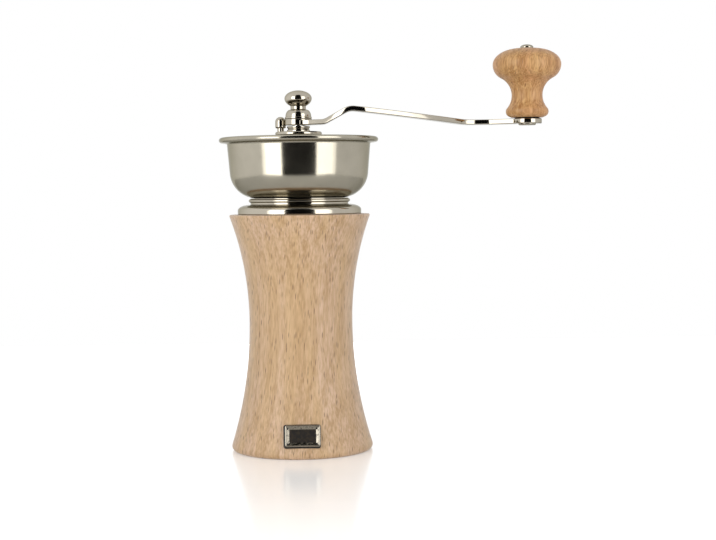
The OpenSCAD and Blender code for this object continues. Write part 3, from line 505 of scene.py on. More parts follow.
# Collar
# A brass turning, nickel plated and polished: a domed flange that rests on the wood, a short neck
# with a bead under the bowl, and a spigot with a groove for the rubber seal ring.
FLANGE_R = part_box("head_collar")[1].x / MM
COLLAR_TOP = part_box("head_collar")[1].z / MM
SKIRT_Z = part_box("head_collar")[0].z / MM
FLANGE_H = 5.5
FLANGE_EDGE = 0.4
FLANGE_DOME = (6.6, 3.2)
DOME_END = 86
NECK_R = 27.3
NECK_FILLET = 0.4
NECK_BEAD_R = 1.05
NECK_BEAD_DROP = 0.3
NECK_BEAD_END = 88
SPIGOT_R = 25.5
SEAL_DROP = 6
SEAL_GROOVE_R = 23.68
SEAL_GROOVE_W = 2.4
BURR_SEAT_R = 17.52
BURR_SEAT_Z = 125
SHELF_R = 15.2
SHELF_Z = 123
SKIRT_R = 18.52
flange_top = BODY_H + FLANGE_H
neck_bead_z = COLLAR_TOP - NECK_BEAD_DROP - NECK_BEAD_R
seal_low = BODY_H - SEAL_DROP - SEAL_GROOVE_W / 2
seal_high = BODY_H - SEAL_DROP + SEAL_GROOVE_W / 2
collar_outline = (
    [(SPIGOT_R, SKIRT_Z), (SPIGOT_R, seal_low), (SEAL_GROOVE_R, seal_low)]
    + [(SEAL_GROOVE_R, seal_high), (SPIGOT_R, seal_high), (SPIGOT_R, BODY_H)]
    + arc(FLANGE_R - FLANGE_EDGE, BODY_H + FLANGE_EDGE, FLANGE_EDGE, -90, 0, steps=5)
    + oval(
        FLANGE_R - FLANGE_DOME[0], flange_top - FLANGE_DOME[1], *FLANGE_DOME,
        0, DOME_END, steps=24,
    )
    + arc(NECK_R + NECK_FILLET, flange_top + NECK_FILLET, NECK_FILLET, -90, -180, steps=5)
    + arc(NECK_R, neck_bead_z, NECK_BEAD_R, -NECK_BEAD_END, NECK_BEAD_END, steps=16)
    + [(NECK_R, COLLAR_TOP), (BURR_SEAT_R, COLLAR_TOP), (BURR_SEAT_R, BURR_SEAT_Z)]
    + [(SHELF_R, BURR_SEAT_Z), (SHELF_R, SHELF_Z), (SKIRT_R, SHELF_Z), (SKIRT_R, SKIRT_Z)]
)
plated_collar = turned(collar_outline)
place("plated_collar", plated_collar, [bright_nickel], "head", "head_collar")


# Seal ring
# A ring of black nitrile rubber, moulded and stretched into the spigot's groove. It grips the bore
# of the wood and so holds the head in place.
BLOOM_SIZE = 2.5


def rubber(name, colour, bloom_colour):
    """Moulded rubber: nearly black, dull, with a faint bloom."""
    made, tree, shader, position = new_material(name)
    bloom = add(
        tree, "ShaderNodeTexNoise",
        {"Vector": position, "Scale": 1 / (BLOOM_SIZE * MM), "Detail": 4},
    )
    tone = add(
        tree, "ShaderNodeMix", {0: bloom.outputs[0], 6: linear(colour), 7: linear(bloom_colour)},
        data_type="RGBA",
    )
    tree.links.new(tone.outputs[2], shader.inputs["Base Color"])
    shader.inputs["Roughness"].default_value = 0.62
    bump = add(
        tree, "ShaderNodeBump",
        {"Height": bloom.outputs[0], "Strength": 0.15, "Distance": 0.03 * MM},
    )
    tree.links.new(bump.outputs[0], shader.inputs["Normal"])
    return made


def coat(material, *nodes):
    """Gives CAD nodes whose shape is right a finish."""
    for node in nodes:
        for material_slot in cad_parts[node].material_slots:
            material_slot.material = material


coat(rubber("nitrile_rubber", "16150f", "34332f"), "collar_seal")


# Bowl
# Brass sheet spun on a former into an open bowl with a flared, rolled lip, then nickel plated.
# Its outside is satin from fine emery, so it blurs what it reflects.
BOWL_R = 39.9
BOWL_TOP = 170.5
BOWL_LEAN = 4.8
BOWL_CORNER = 15
CORNER_R = 23.63
SHEET = 1.2
LIP_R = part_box("hopper_bowl")[1].y / MM
RIM_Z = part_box("hopper_bowl")[1].z / MM
LIP_ROLL = 1.5
LIP_BEND = 1.2
THROAT_R = 15
satin_nickel = nickel(
    "satin_nickel", "aba596", roughness=0.17, smudge=0.03, line=0.3, depth=0.05, brushed=0.7,
)
corner_z = COLLAR_TOP + BOWL_CORNER
roll_r, roll_z = LIP_R - LIP_ROLL, RIM_Z - LIP_ROLL
flare = math.degrees(math.atan2(roll_z - BOWL_TOP, roll_r - BOWL_R + SHEET / 2))
roll_turn = 180 - math.degrees(math.acos(SHEET / 2 / LIP_ROLL))
bowl_outline = (
    [(THROAT_R, COLLAR_TOP)]
    + arc(CORNER_R, corner_z, BOWL_CORNER, -90, -BOWL_LEAN, steps=40)
    + arc(BOWL_R + LIP_BEND, BOWL_TOP, LIP_BEND, 180 - BOWL_LEAN, 90 + flare, steps=8)
    + arc(roll_r, roll_z, LIP_ROLL, flare - roll_turn, flare + roll_turn, steps=28)
    + [(BOWL_R - SHEET, BOWL_TOP)]
    + arc(CORNER_R, corner_z, BOWL_CORNER - SHEET, -BOWL_LEAN, -90, steps=32)
    + [(THROAT_R, COLLAR_TOP + SHEET)]
)
spun_bowl = turned(bowl_outline, steps=256)
place("spun_bowl", spun_bowl, [satin_nickel], "head", "hopper_bowl")


# Bridge and its screws
# A bent strip of plated steel across the bowl carries the spindle's upper bearing. Slotted
# cheese-head screws hold strip, bowl and collar together, and others the bracket under the burrs.
STAIN_SIZE = 6
GLOSS_SPREAD = 0.06


def machined(name, colour, roughness, grain=0.5):
    """Cut steel or brass, with a fine uneven grain left by the tool and faint stains."""
    made, tree, shader, position = new_material(name)
    marks = add(
        tree, "ShaderNodeTexNoise", {"Vector": position, "Scale": 1 / (grain * MM), "Detail": 3},
    )
    stains = add(
        tree, "ShaderNodeTexNoise",
        {"Vector": position, "Scale": 1 / (STAIN_SIZE * MM), "Detail": 2},
    )
    stained = add(
        tree, "ShaderNodeMapRange",
        {"Value": stains.outputs[0], "From Min": 0.3, "From Max": 0.7, "To Min": 0.85,
         "To Max": 1.05},
    )
    tone = add(
        tree, "ShaderNodeVectorMath", {0: linear(colour)[:3], "Scale": stained.outputs[0]},
        operation="SCALE",
    )
    tree.links.new(tone.outputs[0], shader.inputs["Base Color"])
    shader.inputs["Metallic"].default_value = 1
    gloss = add(
        tree, "ShaderNodeMapRange",
        {"Value": marks.outputs[0], "From Min": 0.3, "From Max": 0.7,
         "To Min": roughness - GLOSS_SPREAD, "To Max": roughness + GLOSS_SPREAD},
    )
    tree.links.new(gloss.outputs[0], shader.inputs["Roughness"])
    bump = add(
        tree, "ShaderNodeBump",
        {"Height": marks.outputs[0], "Strength": 0.12, "Distance": 0.02 * MM},
    )
    tree.links.new(bump.outputs[0], shader.inputs["Normal"])
    return made


plain_steel = machined("zinc_plated_steel", "a9a9a6", roughness=0.28)
coat(nickel("strip_nickel", "c2bbad", roughness=0.16, line=0.4), "bridge")
coat(plain_steel, "bridge_screws", "floor_screws", "bracket_screws", "lower_bracket")


# Bearings
# Turned brass bushes, pressed into the bridge and into the bracket below the burrs, and smooth
# from use. The knob's sleeve is of the same brass.
turned_brass = machined("turned_brass", "b79a5c", roughness=0.24, grain=0.3)
coat(turned_brass, "bridge_bush", "lower_bush", "knob_sleeve")


# Burrs
# A ring and a cone of hardened steel with ground teeth, darkened by heat treatment and coffee oil.
# The ring is held in the collar, and the cone turns with the spindle.
hardened_steel = machined("hardened_steel", "6d6b68", roughness=0.38, grain=0.35)
coat(hardened_steel, "outer_burr", "inner_burr")


# Spindle and its fasteners
# A ground steel spindle, with a nut and washer under the inner burr and a keyed drive washer on
# top. They are left bare, because bearings and burr have to fit them closely.
ground_steel = machined("ground_steel", "b4b3b0", roughness=0.2, grain=0.25)
coat(ground_steel, "spindle", "burr_washer", "burr_nut", "drive_washer")


# Grind adjuster
# A plated disc on the spindle's thread, with a grooved boss, and a little domed knob riveted near
# its edge to turn it by. It lifts or lowers the inner burr.
DISC_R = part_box("adjusting_disc")[1].x / MM
DISC_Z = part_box("adjusting_disc")[0].z / MM
BOSS_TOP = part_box("adjusting_disc")[1].z / MM
DISC_T = 2.5
DISC_EDGE = 1
DISC_BORE = 4.05
BOSS_R = 6.4
BOSS_FILLET = 0.25
BOSS_EDGE = 0.3
BOSS_GROOVE = 0.5
GROOVE_EASE = 0.2
GROOVE_END = 80
STUD_R = 3
STUD_H = 8.5
STUD_NECK_R = 1.9
STUD_NECK_H = 2.1
STUD_TAIL_R = 1.3
STUD_EDGE = 0.8
STUD_FLAT_R = 0.1
disc_top = DISC_Z + DISC_T
groove_z = (disc_top + BOSS_TOP) / 2
ease_r, ease_z = BOSS_R - GROOVE_EASE, BOSS_GROOVE + GROOVE_EASE
disc_outline = (
    [(DISC_BORE, DISC_Z)]
    + arc(DISC_R - DISC_EDGE, DISC_Z + DISC_EDGE, DISC_EDGE, -90, 0, steps=8)
    + arc(DISC_R - DISC_EDGE, disc_top - DISC_EDGE, DISC_EDGE, 0, 90, steps=8)
    + arc(BOSS_R + BOSS_FILLET, disc_top + BOSS_FILLET, BOSS_FILLET, -90, -180, steps=4)
    + arc(ease_r, groove_z - ease_z, GROOVE_EASE, 0, GROOVE_END, steps=4)
    + arc(BOSS_R, groove_z, BOSS_GROOVE, GROOVE_END - 180, -180 - GROOVE_END, steps=10)
    + arc(ease_r, groove_z + ease_z, GROOVE_EASE, -GROOVE_END, 0, steps=4)
    + arc(BOSS_R - BOSS_EDGE, BOSS_TOP - BOSS_EDGE, BOSS_EDGE, 0, 90, steps=5)
    + [(DISC_BORE, BOSS_TOP)]
)
adjuster_disc = turned(disc_outline)
place("adjuster_disc", adjuster_disc, [bright_nickel], "adjuster", "adjusting_disc")

stud_low, stud_high = (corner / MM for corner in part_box("adjuster_knob"))
stud_centre = ((stud_low.x + stud_high.x) / 2, (stud_low.y + stud_high.y) / 2)
stud_dome = STUD_R - STUD_FLAT_R
stud_outline = (
    [(0, stud_low.z), (STUD_TAIL_R, stud_low.z), (STUD_TAIL_R, disc_top), (STUD_NECK_R, disc_top)]
    + [(STUD_NECK_R, disc_top + STUD_NECK_H)]
    + arc(STUD_R - STUD_EDGE, disc_top + STUD_NECK_H + STUD_EDGE, STUD_EDGE, -90, 0, steps=8)
    + arc(STUD_FLAT_R, disc_top + STUD_H - stud_dome, stud_dome, 0, 90, steps=16)
    + [(0, disc_top + STUD_H)]
)
stud_nickel = nickel("stud_nickel", "b3ac9e", roughness=0.1, centre=stud_centre)
little_knob = turned(stud_outline, stud_centre, steps=96)
place("little_knob", little_knob, [stud_nickel], "adjuster", "adjuster_knob")


# Crank arm
# Flat brass bar, forged into an S and cranked up over the disc, with a turned boss on the spindle
# and a round eye for the knob's pin. Its edges are eased, and it is plated and polished.
HUB_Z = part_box("crank_arm")[0].z / MM
HUB_R = 7.6
HUB_H = 3.6
HUB_EDGE = 0.5
HUB_BORE = 3.05
ARM_W = 9.6
ARM_T = 2.8
ARM_EDGE = 0.5
ARM_SEAT = 0.02
ARM_ROOT = 4
ROOT_FILLET = 12
LEAD = 24.3
LEAD_TURN = math.radians(32)
BEND_IN = 20
BOW_R = 177.033
BOW_FROM = math.radians(17)
BOW_TURN = math.radians(36)
BEND_OUT = 22
TAIL = 19
TAIL_TURN = math.radians(25)
EYE_R = 8.2
KICK_X = 14.4
CREST_X = 28
LEVEL_X = 94
ARM_RISE = 7.1
KICK_BLEND = 1.5
CREST_BLEND = 2.7
LEVEL_BLEND = 3.2
STRIP_ROWS = 8
LEAD_STEPS = 44
BEND_IN_STEPS = 36
BOW_STEPS = 48
BEND_OUT_STEPS = 44
EYE_STEPS = 48
EYE_FROM = 10
ROW_WELD = 0.0005
CORNER_TURN = 1
rise_slope = ARM_RISE / (CREST_X - KICK_X)
fall_slope = -ARM_RISE / (LEVEL_X - CREST_X)


def heading(turn):
    """Unit vector along a heading, in radians from X."""
    return Vector((math.cos(turn), math.sin(turn), 0))


def left_of(turn):
    """Unit vector a quarter turn to the left of a heading."""
    return Vector((-math.sin(turn), math.cos(turn), 0))


def ramp(x, start, blend):
    """Zero before start and x - start after it, with a parabola between, and its slope."""
    t = x - start
    if t < -blend:
        return 0, 0
    if t > blend:
        return t, 1
    return (t + blend) ** 2 / (4 * blend), (t + blend) / (2 * blend)


def arm_level(x):
    """Height of the arm's middle line over its inner end, and its slope."""
    bends = (
        (KICK_X, KICK_BLEND, rise_slope), (CREST_X, CREST_BLEND, fall_slope - rise_slope),
        (LEVEL_X, LEVEL_BLEND, -fall_slope),
    )
    ramps = [(turn, ramp(x, start, blend)) for start, blend, turn in bends]
    height = sum(turn * lift for turn, (lift, _) in ramps)
    slope = sum(turn * lean for turn, (_, lean) in ramps)
    return height, slope


def carry(made, row, distance, half, turn):
    """Extrudes a row of points along a heading, and sets the new row to a half width."""
    edges = [e for e in made.edges if e.verts[0] in row and e.verts[1] in row]
    grown = bmesh.ops.extrude_edge_only(made, edges=edges)["geom"]
    row = [g for g in grown if isinstance(g, bmesh.types.BMVert)]
    bmesh.ops.translate(made, verts=row, vec=heading(turn) * distance)
    middle = sum((v.co for v in row), Vector()) / len(row)
    old = max((v.co - middle).length for v in row)
    to_row = Matrix.Rotation(-turn, 4, "Z") @ Matrix.Translation(-middle)
    bmesh.ops.scale(made, verts=row, vec=(1, half / old, 1), space=to_row)
    return row


def swing(made, row, centre, angle, steps):
    """Spins a row of points round a bend of the arm."""
    edges = [e for e in made.edges if e.verts[0] in row and e.verts[1] in row]
    swept = bmesh.ops.spin(
        made, geom=row + edges, cent=centre, axis=(0, 0, 1), angle=angle, steps=steps,
    )
    return [g for g in swept["geom_last"] if isinstance(g, bmesh.types.BMVert)]


def crank_arm():
    """A row of points carried from the boss along the S to the eye, then thickened and eased."""
    made = bmesh.new()
    half = ARM_W / 2
    spots = [half * (2 * i / STRIP_ROWS - 1) for i in range(STRIP_ROWS + 1)]
    root = heading(-LEAD_TURN) * ARM_ROOT
    row = [made.verts.new(root + left_of(-LEAD_TURN) * spot) for spot in spots]
    for pair in zip(row, row[1:]):
        made.edges.new(pair)

    # The bar flares into the boss in a hollow, as forged metal does
    fillet_end = math.sqrt((HUB_R + ROOT_FILLET) ** 2 - (half + ROOT_FILLET) ** 2)
    step = (LEAD - ARM_ROOT) / LEAD_STEPS
    for i in range(1, LEAD_STEPS + 1):
        before = max(fillet_end - ARM_ROOT - step * i, 0)
        flare_half = half + ROOT_FILLET - math.sqrt(ROOT_FILLET**2 - before**2)
        row = carry(made, row, step, flare_half, -LEAD_TURN)

    at = heading(-LEAD_TURN) * LEAD
    centre = at + left_of(-LEAD_TURN) * BEND_IN
    row = swing(made, row, centre, LEAD_TURN + BOW_FROM, BEND_IN_STEPS)
    at += BEND_IN * (left_of(-LEAD_TURN) - left_of(BOW_FROM))
    row = swing(made, row, at + left_of(BOW_FROM) * BOW_R, BOW_TURN - BOW_FROM, BOW_STEPS)
    at += BOW_R * (left_of(BOW_FROM) - left_of(BOW_TURN))
    centre = at - left_of(BOW_TURN) * BEND_OUT
    row = swing(made, row, centre, -BOW_TURN - TAIL_TURN, BEND_OUT_STEPS)
    eye_turns = [math.pi * i / EYE_STEPS for i in range(EYE_FROM, EYE_STEPS)]
    stops = [0] + [TAIL - EYE_R * math.cos(turn) for turn in eye_turns]
    for before, after in zip(stops, stops[1:]):
        round_half = math.sqrt(EYE_R**2 - (after - TAIL) ** 2)
        eye_half = max(round_half, half) if after < TAIL else round_half
        row = carry(made, row, after - before, eye_half, -TAIL_TURN)
    bmesh.ops.remove_doubles(made, verts=made.verts, dist=ROW_WELD)

    # The strip is bent over the disc, thickened square to its slope and eased along its edges
    for vert in made.verts:
        level, slope = arm_level(vert.co.x)
        vert.co.z = HUB_Z + ARM_SEAT + ARM_T / 2 + level - ARM_T / 2 * math.hypot(1, slope)
    upper = bmesh.ops.extrude_face_region(made, geom=made.faces[:], use_keep_orig=True)["geom"]
    for vert in (g for g in upper if isinstance(g, bmesh.types.BMVert)):
        vert.co.z += ARM_T * math.hypot(1, arm_level(vert.co.x)[1])
    bmesh.ops.recalc_face_normals(made, faces=made.faces)
    corners = [e for e in made.edges if e.is_manifold and e.calc_face_angle(0) > CORNER_TURN]
    bmesh.ops.bevel(
        made, geom=corners, offset=ARM_EDGE, segments=4, profile=0.5, affect="EDGES", material=-1,
    )
    bmesh.ops.scale(made, verts=made.verts, vec=(MM, MM, MM))

    boss_outline = (
        [(HUB_BORE, HUB_Z)]
        + arc(HUB_R - HUB_EDGE, HUB_Z + HUB_EDGE, HUB_EDGE, -90, 0, steps=6)
        + arc(HUB_R - HUB_EDGE, HUB_Z + HUB_H - HUB_EDGE, HUB_EDGE, 0, 90, steps=6)
        + [(HUB_BORE, HUB_Z + HUB_H)]
    )
    join(made, turned(boss_outline))
    return made


arm_nickel = nickel("arm_nickel", "b3ac9e", roughness=0.09, line=0.5)
place("bent_arm", crank_arm(), [arm_nickel], "crank", "crank_arm")


# Finial nut
# A turned brass nut with a flattened ball on a short neck and a domed foot. It clamps the arm on
# the spindle, and it is plated and polished like the collar.
FINIAL_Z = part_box("finial_nut")[0].z / MM
FINIAL_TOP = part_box("finial_nut")[1].z / MM
FINIAL_R = 7.6
RING_R = 7.5
RING_H = 1.2
RING_EDGE = 0.3
BELL_R = 7.2
BELL_H = 4
BELL_FILLET = 0.3
FINIAL_NECK_R = 4.3
FINIAL_NECK_H = 2
BALL_FILLET = 0.2
BALL_FILLET_END = 110
BALL_FROM = 3
BALL_UNDER = 5.1
BALL_CROWN = 4.5
FINIAL_BORE = 2.65
FINIAL_DEPTH = 8
finial_nickel = nickel("finial_nickel", "b3ac9e", roughness=0.12)
bell_z = FINIAL_Z + RING_H
bell_top = bell_z + BELL_H
bell_in = FINIAL_NECK_R + BELL_FILLET
neck_top = bell_top + FINIAL_NECK_H
ball_z = FINIAL_TOP - BALL_CROWN
ball_start = BALL_FROM - math.degrees(math.acos(FINIAL_NECK_R / FINIAL_R))
finial_outline = (
    [(FINIAL_BORE, FINIAL_Z)]
    + arc(RING_R - RING_EDGE, FINIAL_Z + RING_EDGE, RING_EDGE, -90, 0, steps=6)
    + arc(RING_R - RING_EDGE, bell_z - RING_EDGE, RING_EDGE, 0, 90, steps=6)
    + oval(bell_in, bell_z, BELL_R - bell_in, BELL_H, 0, DOME_END)
    + arc(bell_in, bell_top + BELL_FILLET, BELL_FILLET, -90, -180, steps=5)
    + arc(
        FINIAL_NECK_R + BALL_FILLET, neck_top - BALL_FILLET, BALL_FILLET,
        180, BALL_FILLET_END, steps=4,
    )
    + oval(0, ball_z, FINIAL_R, BALL_UNDER, ball_start, 0)
    + oval(0, ball_z, FINIAL_R, BALL_CROWN, 0, DOME_END, steps=24)[1:]
    + [(0, FINIAL_TOP), (0, FINIAL_Z + FINIAL_DEPTH), (FINIAL_BORE, FINIAL_Z + FINIAL_DEPTH)]
)
ball_finial = turned(finial_outline, steps=160)
place("ball_finial", ball_finial, [finial_nickel], "crank", "finial_nut")


# Knob pin and washer
# A steel pin riveted under the arm's eye and headed over the knob, plated. A dark spring washer
# keeps the wooden knob off the arm.
KNOB_CENTRE = (128.8, 5.143)
PIN_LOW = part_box("crank_pin")[0].z / MM
PIN_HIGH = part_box("crank_pin")[1].z / MM
SHANK_R = 2.6
RIVET_R = 5
RIVET_H = 0.9
HEAD_R = 3.7
HEAD_H = 2.2
HEAD_SEAT = 0.15
HEAD_EDGE = 0.25
HEAD_EDGE_Z = 0.3
HEAD_EDGE_FROM = -60
HEAD_DOME_Z = 0.6
HEAD_DOME_FROM = 4
WASHER_R = 7
WASHER_BORE = 2.72
WASHER_EDGE = 0.15
pin_nickel = nickel("pin_nickel", "a8a193", roughness=0.1, centre=KNOB_CENTRE)
head_z = PIN_HIGH - HEAD_H
knob_pin_outline = (
    [(0, PIN_LOW), (RIVET_R - RIVET_H, PIN_LOW)]
    + arc(RIVET_R - RIVET_H, PIN_LOW + RIVET_H, RIVET_H, -90, 0, steps=6)
    + [(SHANK_R, PIN_LOW + RIVET_H), (SHANK_R, head_z), (HEAD_R - HEAD_SEAT, head_z)]
    + arc(HEAD_R - HEAD_EDGE, head_z + HEAD_EDGE_Z, HEAD_EDGE, HEAD_EDGE_FROM, 0, steps=3)
    + oval(
        0, head_z + HEAD_DOME_Z, HEAD_R, HEAD_H - HEAD_DOME_Z,
        HEAD_DOME_FROM, DOME_END, steps=12,
    )
    + [(0, PIN_HIGH)]
)
knob_pin = turned(knob_pin_outline, KNOB_CENTRE, steps=96)
place("knob_pin", knob_pin, [pin_nickel], "crank", "crank_pin")

washer_low, washer_high = (corner.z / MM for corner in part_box("knob_washer"))
washer_in = WASHER_R - WASHER_EDGE
washer_outline = (
    [(WASHER_BORE, washer_low), (washer_in, washer_low), (WASHER_R, washer_low + WASHER_EDGE)]
    + [(WASHER_R, washer_high - WASHER_EDGE), (washer_in, washer_high), (WASHER_BORE, washer_high)]
)
dark_washer = turned(washer_outline, KNOB_CENTRE, steps=96)
place("dark_washer", dark_washer, [pin_steel_and_side_shade], "crank", "knob_washer")


# Knob
# A mushroom knob turned from a warmer, closer piece of beech, with a rounded foot, a hollow waist
# and a full head. It runs on a brass sleeve over the pin.
KNOB_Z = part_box("crank_knob")[0].z / MM
KNOB_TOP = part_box("crank_knob")[1].z / MM
KNOB_R = 19.2
KNOB_FOOT_R = 12
KNOB_FOOT_FROM = -72
KNOB_WAIST_R = 8.65
KNOB_WAIST_Z = 12.4
KNOB_HOLLOW = 11
KNOB_EDGE = 3
KNOB_UNDER = 8.4
KNOB_FLAT_R = 5
KNOB_BORE = 3.52
knob_beech = beech(
    "oiled_knob_beech", pale="d6a970", dark="a5733f", red="d6a270", fleck="7d5230", grain=0.5,
    fleck_share=0.35, nap=0,
)
# The bead at the foot and the underside of the head both run smoothly into the hollow of the waist
hollow_r, hollow_z = KNOB_WAIST_R + KNOB_HOLLOW, KNOB_Z + KNOB_WAIST_Z
foot_r, under_r = KNOB_FOOT_R - KNOB_EDGE, KNOB_R - KNOB_UNDER
foot_turn = math.degrees(math.acos((hollow_r - foot_r) / (KNOB_HOLLOW + KNOB_EDGE)))
under_turn = math.degrees(math.acos((hollow_r - under_r) / (KNOB_HOLLOW + KNOB_UNDER)))
foot_z = hollow_z - (KNOB_HOLLOW + KNOB_EDGE) * math.sin(math.radians(foot_turn))
widest_z = hollow_z + (KNOB_HOLLOW + KNOB_UNDER) * math.sin(math.radians(under_turn))
knob_outline = (
    [(KNOB_BORE, KNOB_Z), (foot_r, KNOB_Z)]
    + arc(foot_r, foot_z, KNOB_EDGE, KNOB_FOOT_FROM, foot_turn, steps=24)
    + arc(hollow_r, hollow_z, KNOB_HOLLOW, 180 + foot_turn, 180 - under_turn, steps=40)[1:]
    + arc(under_r, widest_z, KNOB_UNDER, -under_turn, 0, steps=20)[1:]
    + oval(KNOB_FLAT_R, widest_z, KNOB_R - KNOB_FLAT_R, KNOB_TOP - widest_z, 0, 90, steps=32)[1:]
    + [(KNOB_BORE, KNOB_TOP)]
)
turned_knob = turned(knob_outline, KNOB_CENTRE)
place("turned_knob", turned_knob, [knob_beech], "knob", "crank_knob")


# Camera
# A short telephoto lens a little above the middle of the mill, aimed slightly down and held a
# little off level.
LENS = 77.4
CAMERA_AT = (0.005, -0.862, 0.145)
CAMERA_PAN = -1.814
CAMERA_TILT = 87.03
CAMERA_ROLL = -0.65
bpy.context.scene.view_settings.view_transform = "Standard"
camera_data = bpy.data.cameras.new("camera")
camera_data.lens = LENS
camera = bpy.data.objects.new("camera", camera_data)
bpy.context.scene.collection.objects.link(camera)
bpy.context.scene.camera = camera
camera.matrix_world = (
    Matrix.Translation(CAMERA_AT)
    @ Matrix.Rotation(math.radians(CAMERA_PAN), 4, "Z")
    @ Matrix.Rotation(math.radians(CAMERA_TILT), 4, "X")
    @ Matrix.Rotation(math.radians(CAMERA_ROLL), 4, "Z")
)


# Studio
# Glossy white card under the mill in a white room, two tall soft boxes left and right of the
# camera, and a dark curtain behind the camera, which the plated parts show as their black middles.
SOFTBOX_W = 0.62
SOFTBOX_EDGE_W = 0.12
SOFTBOX_EDGE_GLOW = 1.5
SOFTBOX_H = 1.5
SOFTBOX_AT = 1.25
SOFTBOX_Z = 0.25
LEFT_TURN = -41
LEFT_GLOW = 3.05
RIGHT_TURN = 42.3
RIGHT_GLOW = 2.3
EDGE_TURN = 16.7
CURTAIN_AT = 1.5
CURTAIN_W = 1.66
CURTAIN_H = 5
CURTAIN_Z = 1.7
FLOOR_HALF = 0.55
FLOOR_FRONT = 0.43
FLOOR_BACK = 0.6
FLOOR_GLOW = 0.58
FLOOR_EDGE_GLOW = 1
FLOOR_FADE = (0.2, 0.5)
FLOOR_IN_METAL = 0.1
CARD_IOR = 1.5
SHINE = 1.22
SHINE_FADE = (0.04, 0.44)
SHINE_BLUR = 0.13
SHINE_SMEAR = 0.5
AMBIENT = 0.45
ROOM_LEFT = 1.15
ROOM_RIGHT = 0.94


def soft_box(name, turn, width, glow):
    """A tall rectangular lamp, turned round the mill and facing it."""
    data = bpy.data.lights.new(name, "AREA")
    data.shape = "RECTANGLE"
    data.size = width
    data.size_y = SOFTBOX_H
    # An area lamp's own brightness is its power over its area and pi
    data.energy = glow * math.pi * width * SOFTBOX_H
    lamp = bpy.data.objects.new(name, data)
    bpy.context.scene.collection.objects.link(lamp)
    lamp.matrix_world = (
        Matrix.Rotation(math.radians(turn), 4, "Z")
        @ Matrix.Translation((0, -SOFTBOX_AT, SOFTBOX_Z))
        @ Matrix.Rotation(math.radians(90), 4, "X")
    )
    lamp.visible_camera = False


# Each box is dimmer along its outer side
soft_box("soft_box_right", RIGHT_TURN, SOFTBOX_W, RIGHT_GLOW)
soft_box("soft_box_right_edge", RIGHT_TURN + EDGE_TURN, SOFTBOX_EDGE_W, SOFTBOX_EDGE_GLOW)
soft_box("soft_box_left", LEFT_TURN, SOFTBOX_W, LEFT_GLOW)
soft_box("soft_box_left_edge", LEFT_TURN - EDGE_TURN, SOFTBOX_EDGE_W, SOFTBOX_EDGE_GLOW)


def stage_sheet(name, width, height, matrix, material):
    """A flat sheet of the studio, which is no part of the mill."""
    made = bmesh.new()
    bmesh.ops.create_grid(made, x_segments=1, y_segments=1, size=0.5)
    sized = matrix @ Matrix.Diagonal((width, height, 1, 1))
    bmesh.ops.transform(made, matrix=sized, verts=made.verts)
    mesh = bpy.data.meshes.new(name)
    made.to_mesh(mesh)
    made.free()
    mesh.materials.append(material)
    sheet = bpy.data.objects.new(name, mesh)
    bpy.context.scene.collection.objects.link(sheet)
    return sheet


def seen_by(tree):
    """Sockets that are 1 for what the camera sees, and for what shows in metal or glass."""
    ray = add(tree, "ShaderNodeLightPath")
    mirrored = add(
        tree, "ShaderNodeMath",
        {0: ray.outputs["Is Glossy Ray"], 1: ray.outputs["Is Transmission Ray"]},
        operation="MAXIMUM",
    )
    return ray.outputs["Is Camera Ray"], mirrored.outputs[0]


card, card_tree, card_shader, on_card = new_material("glossy_white_card")
card_shader.inputs["Base Color"].default_value = linear("f4f4f3")
card_shader.inputs["Roughness"].default_value = 0.6
card_shader.inputs["Emission Color"].default_value = (1, 1, 1, 1)
card_in_camera, card_in_metal = seen_by(card_tree)
away = add(card_tree, "ShaderNodeVectorMath", {0: on_card}, operation="LENGTH")
# Near the mill the card is lit and shaded. Further out it fades into the white background
glow = add(
    card_tree, "ShaderNodeMapRange",
    {"Value": away.outputs["Value"], "From Min": FLOOR_FADE[0], "From Max": FLOOR_FADE[1],
     "To Min": FLOOR_GLOW, "To Max": FLOOR_EDGE_GLOW},
    interpolation_type="SMOOTHSTEP",
)
metal_glow = add(
    card_tree, "ShaderNodeMath", {0: card_in_metal, 1: FLOOR_IN_METAL}, operation="MULTIPLY",
)
seen_glow = add(
    card_tree, "ShaderNodeMath",
    {0: card_in_camera, 1: glow.outputs[0], 2: metal_glow.outputs[0]}, operation="MULTIPLY_ADD",
)
card_tree.links.new(seen_glow.outputs[0], card_shader.inputs["Emission Strength"])
# The polished card mirrors the mill's foot, smeared and fading outwards from it
smear = add(
    card_tree, "ShaderNodeVectorMath", {0: (0, 0, 1), 1: on_card}, operation="CROSS_PRODUCT",
)
mirror = add(
    card_tree, "ShaderNodeBsdfGlossy",
    {"Color": (1, 1, 1, 1), "Roughness": SHINE_BLUR, "Anisotropy": SHINE_SMEAR,
     "Tangent": smear.outputs[0]},
)
fading = add(
    card_tree, "ShaderNodeMapRange",
    {"Value": away.outputs["Value"], "From Min": SHINE_FADE[0], "From Max": SHINE_FADE[1],
     "To Min": SHINE, "To Max": 0},
    interpolation_type="SMOOTHSTEP",
)
grazing = add(card_tree, "ShaderNodeFresnel", {"IOR": CARD_IOR})
shine = add(
    card_tree, "ShaderNodeMath", {0: fading.outputs[0], 1: grazing.outputs[0]},
    operation="MULTIPLY",
)
seen_shine = add(
    card_tree, "ShaderNodeMath", {0: shine.outputs[0], 1: card_in_camera}, operation="MULTIPLY",
)
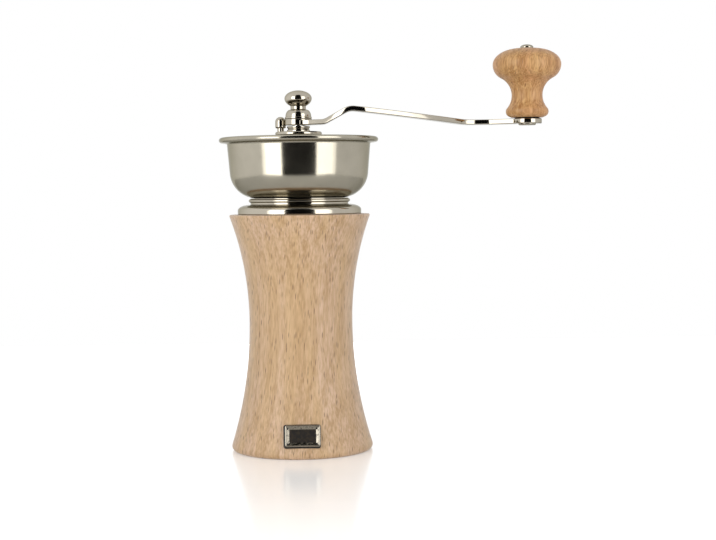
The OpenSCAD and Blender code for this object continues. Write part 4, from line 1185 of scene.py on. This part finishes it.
polished = add(
    card_tree, "ShaderNodeMixShader",
    {0: seen_shine.outputs[0], 1: card_shader.outputs[0], 2: mirror.outputs[0]},
)
card_tree.links.new(polished.outputs[0], card_tree.nodes["Material Output"].inputs["Surface"])
stage_sheet(
    "floor", 2 * FLOOR_HALF, FLOOR_BACK + FLOOR_FRONT,
    Matrix.Translation((0, (FLOOR_BACK - FLOOR_FRONT) / 2, 0)), card,
)

cloth, _, cloth_shader, _ = new_material("black_curtain")
cloth_shader.inputs["Base Color"].default_value = linear("101010")
cloth_shader.inputs["Roughness"].default_value = 0.9
cloth_shader.inputs["Specular IOR Level"].default_value = 0
curtain = stage_sheet(
    "curtain", CURTAIN_W, CURTAIN_H,
    Matrix.Translation((0, -CURTAIN_AT, CURTAIN_Z)) @ Matrix.Rotation(math.radians(90), 4, "X"),
    cloth,
)
curtain.visible_camera = False
curtain.visible_shadow = False
curtain.visible_diffuse = False

# The room is white to the camera. In metal its left is a little brighter than its right
world = bpy.data.worlds.new("white_studio")
bpy.context.scene.world = world
world.use_nodes = True
room = world.node_tree
room_in_camera, room_in_metal = seen_by(room)
seen = add(room, "ShaderNodeMath", {0: room_in_metal, 1: room_in_camera}, operation="MAXIMUM")
level = add(room, "ShaderNodeMapRange", {"Value": seen.outputs[0], "To Min": AMBIENT, "To Max": 1})
direction = add(room, "ShaderNodeTexCoord").outputs["Generated"]
toward = add(room, "ShaderNodeSeparateXYZ", {0: direction})
side = add(
    room, "ShaderNodeMapRange",
    {"Value": toward.outputs[0], "From Min": -1, "From Max": 1, "To Min": ROOM_LEFT,
     "To Max": ROOM_RIGHT},
)
sided = add(
    room, "ShaderNodeMapRange", {"Value": room_in_metal, "To Min": 1, "To Max": side.outputs[0]},
)
strength = add(
    room, "ShaderNodeMath", {0: level.outputs[0], 1: sided.outputs[0]}, operation="MULTIPLY",
)
room.links.new(strength.outputs[0], room.nodes["Background"].inputs["Strength"])
room.nodes["Background"].inputs["Color"].default_value = (1, 1, 1, 1)
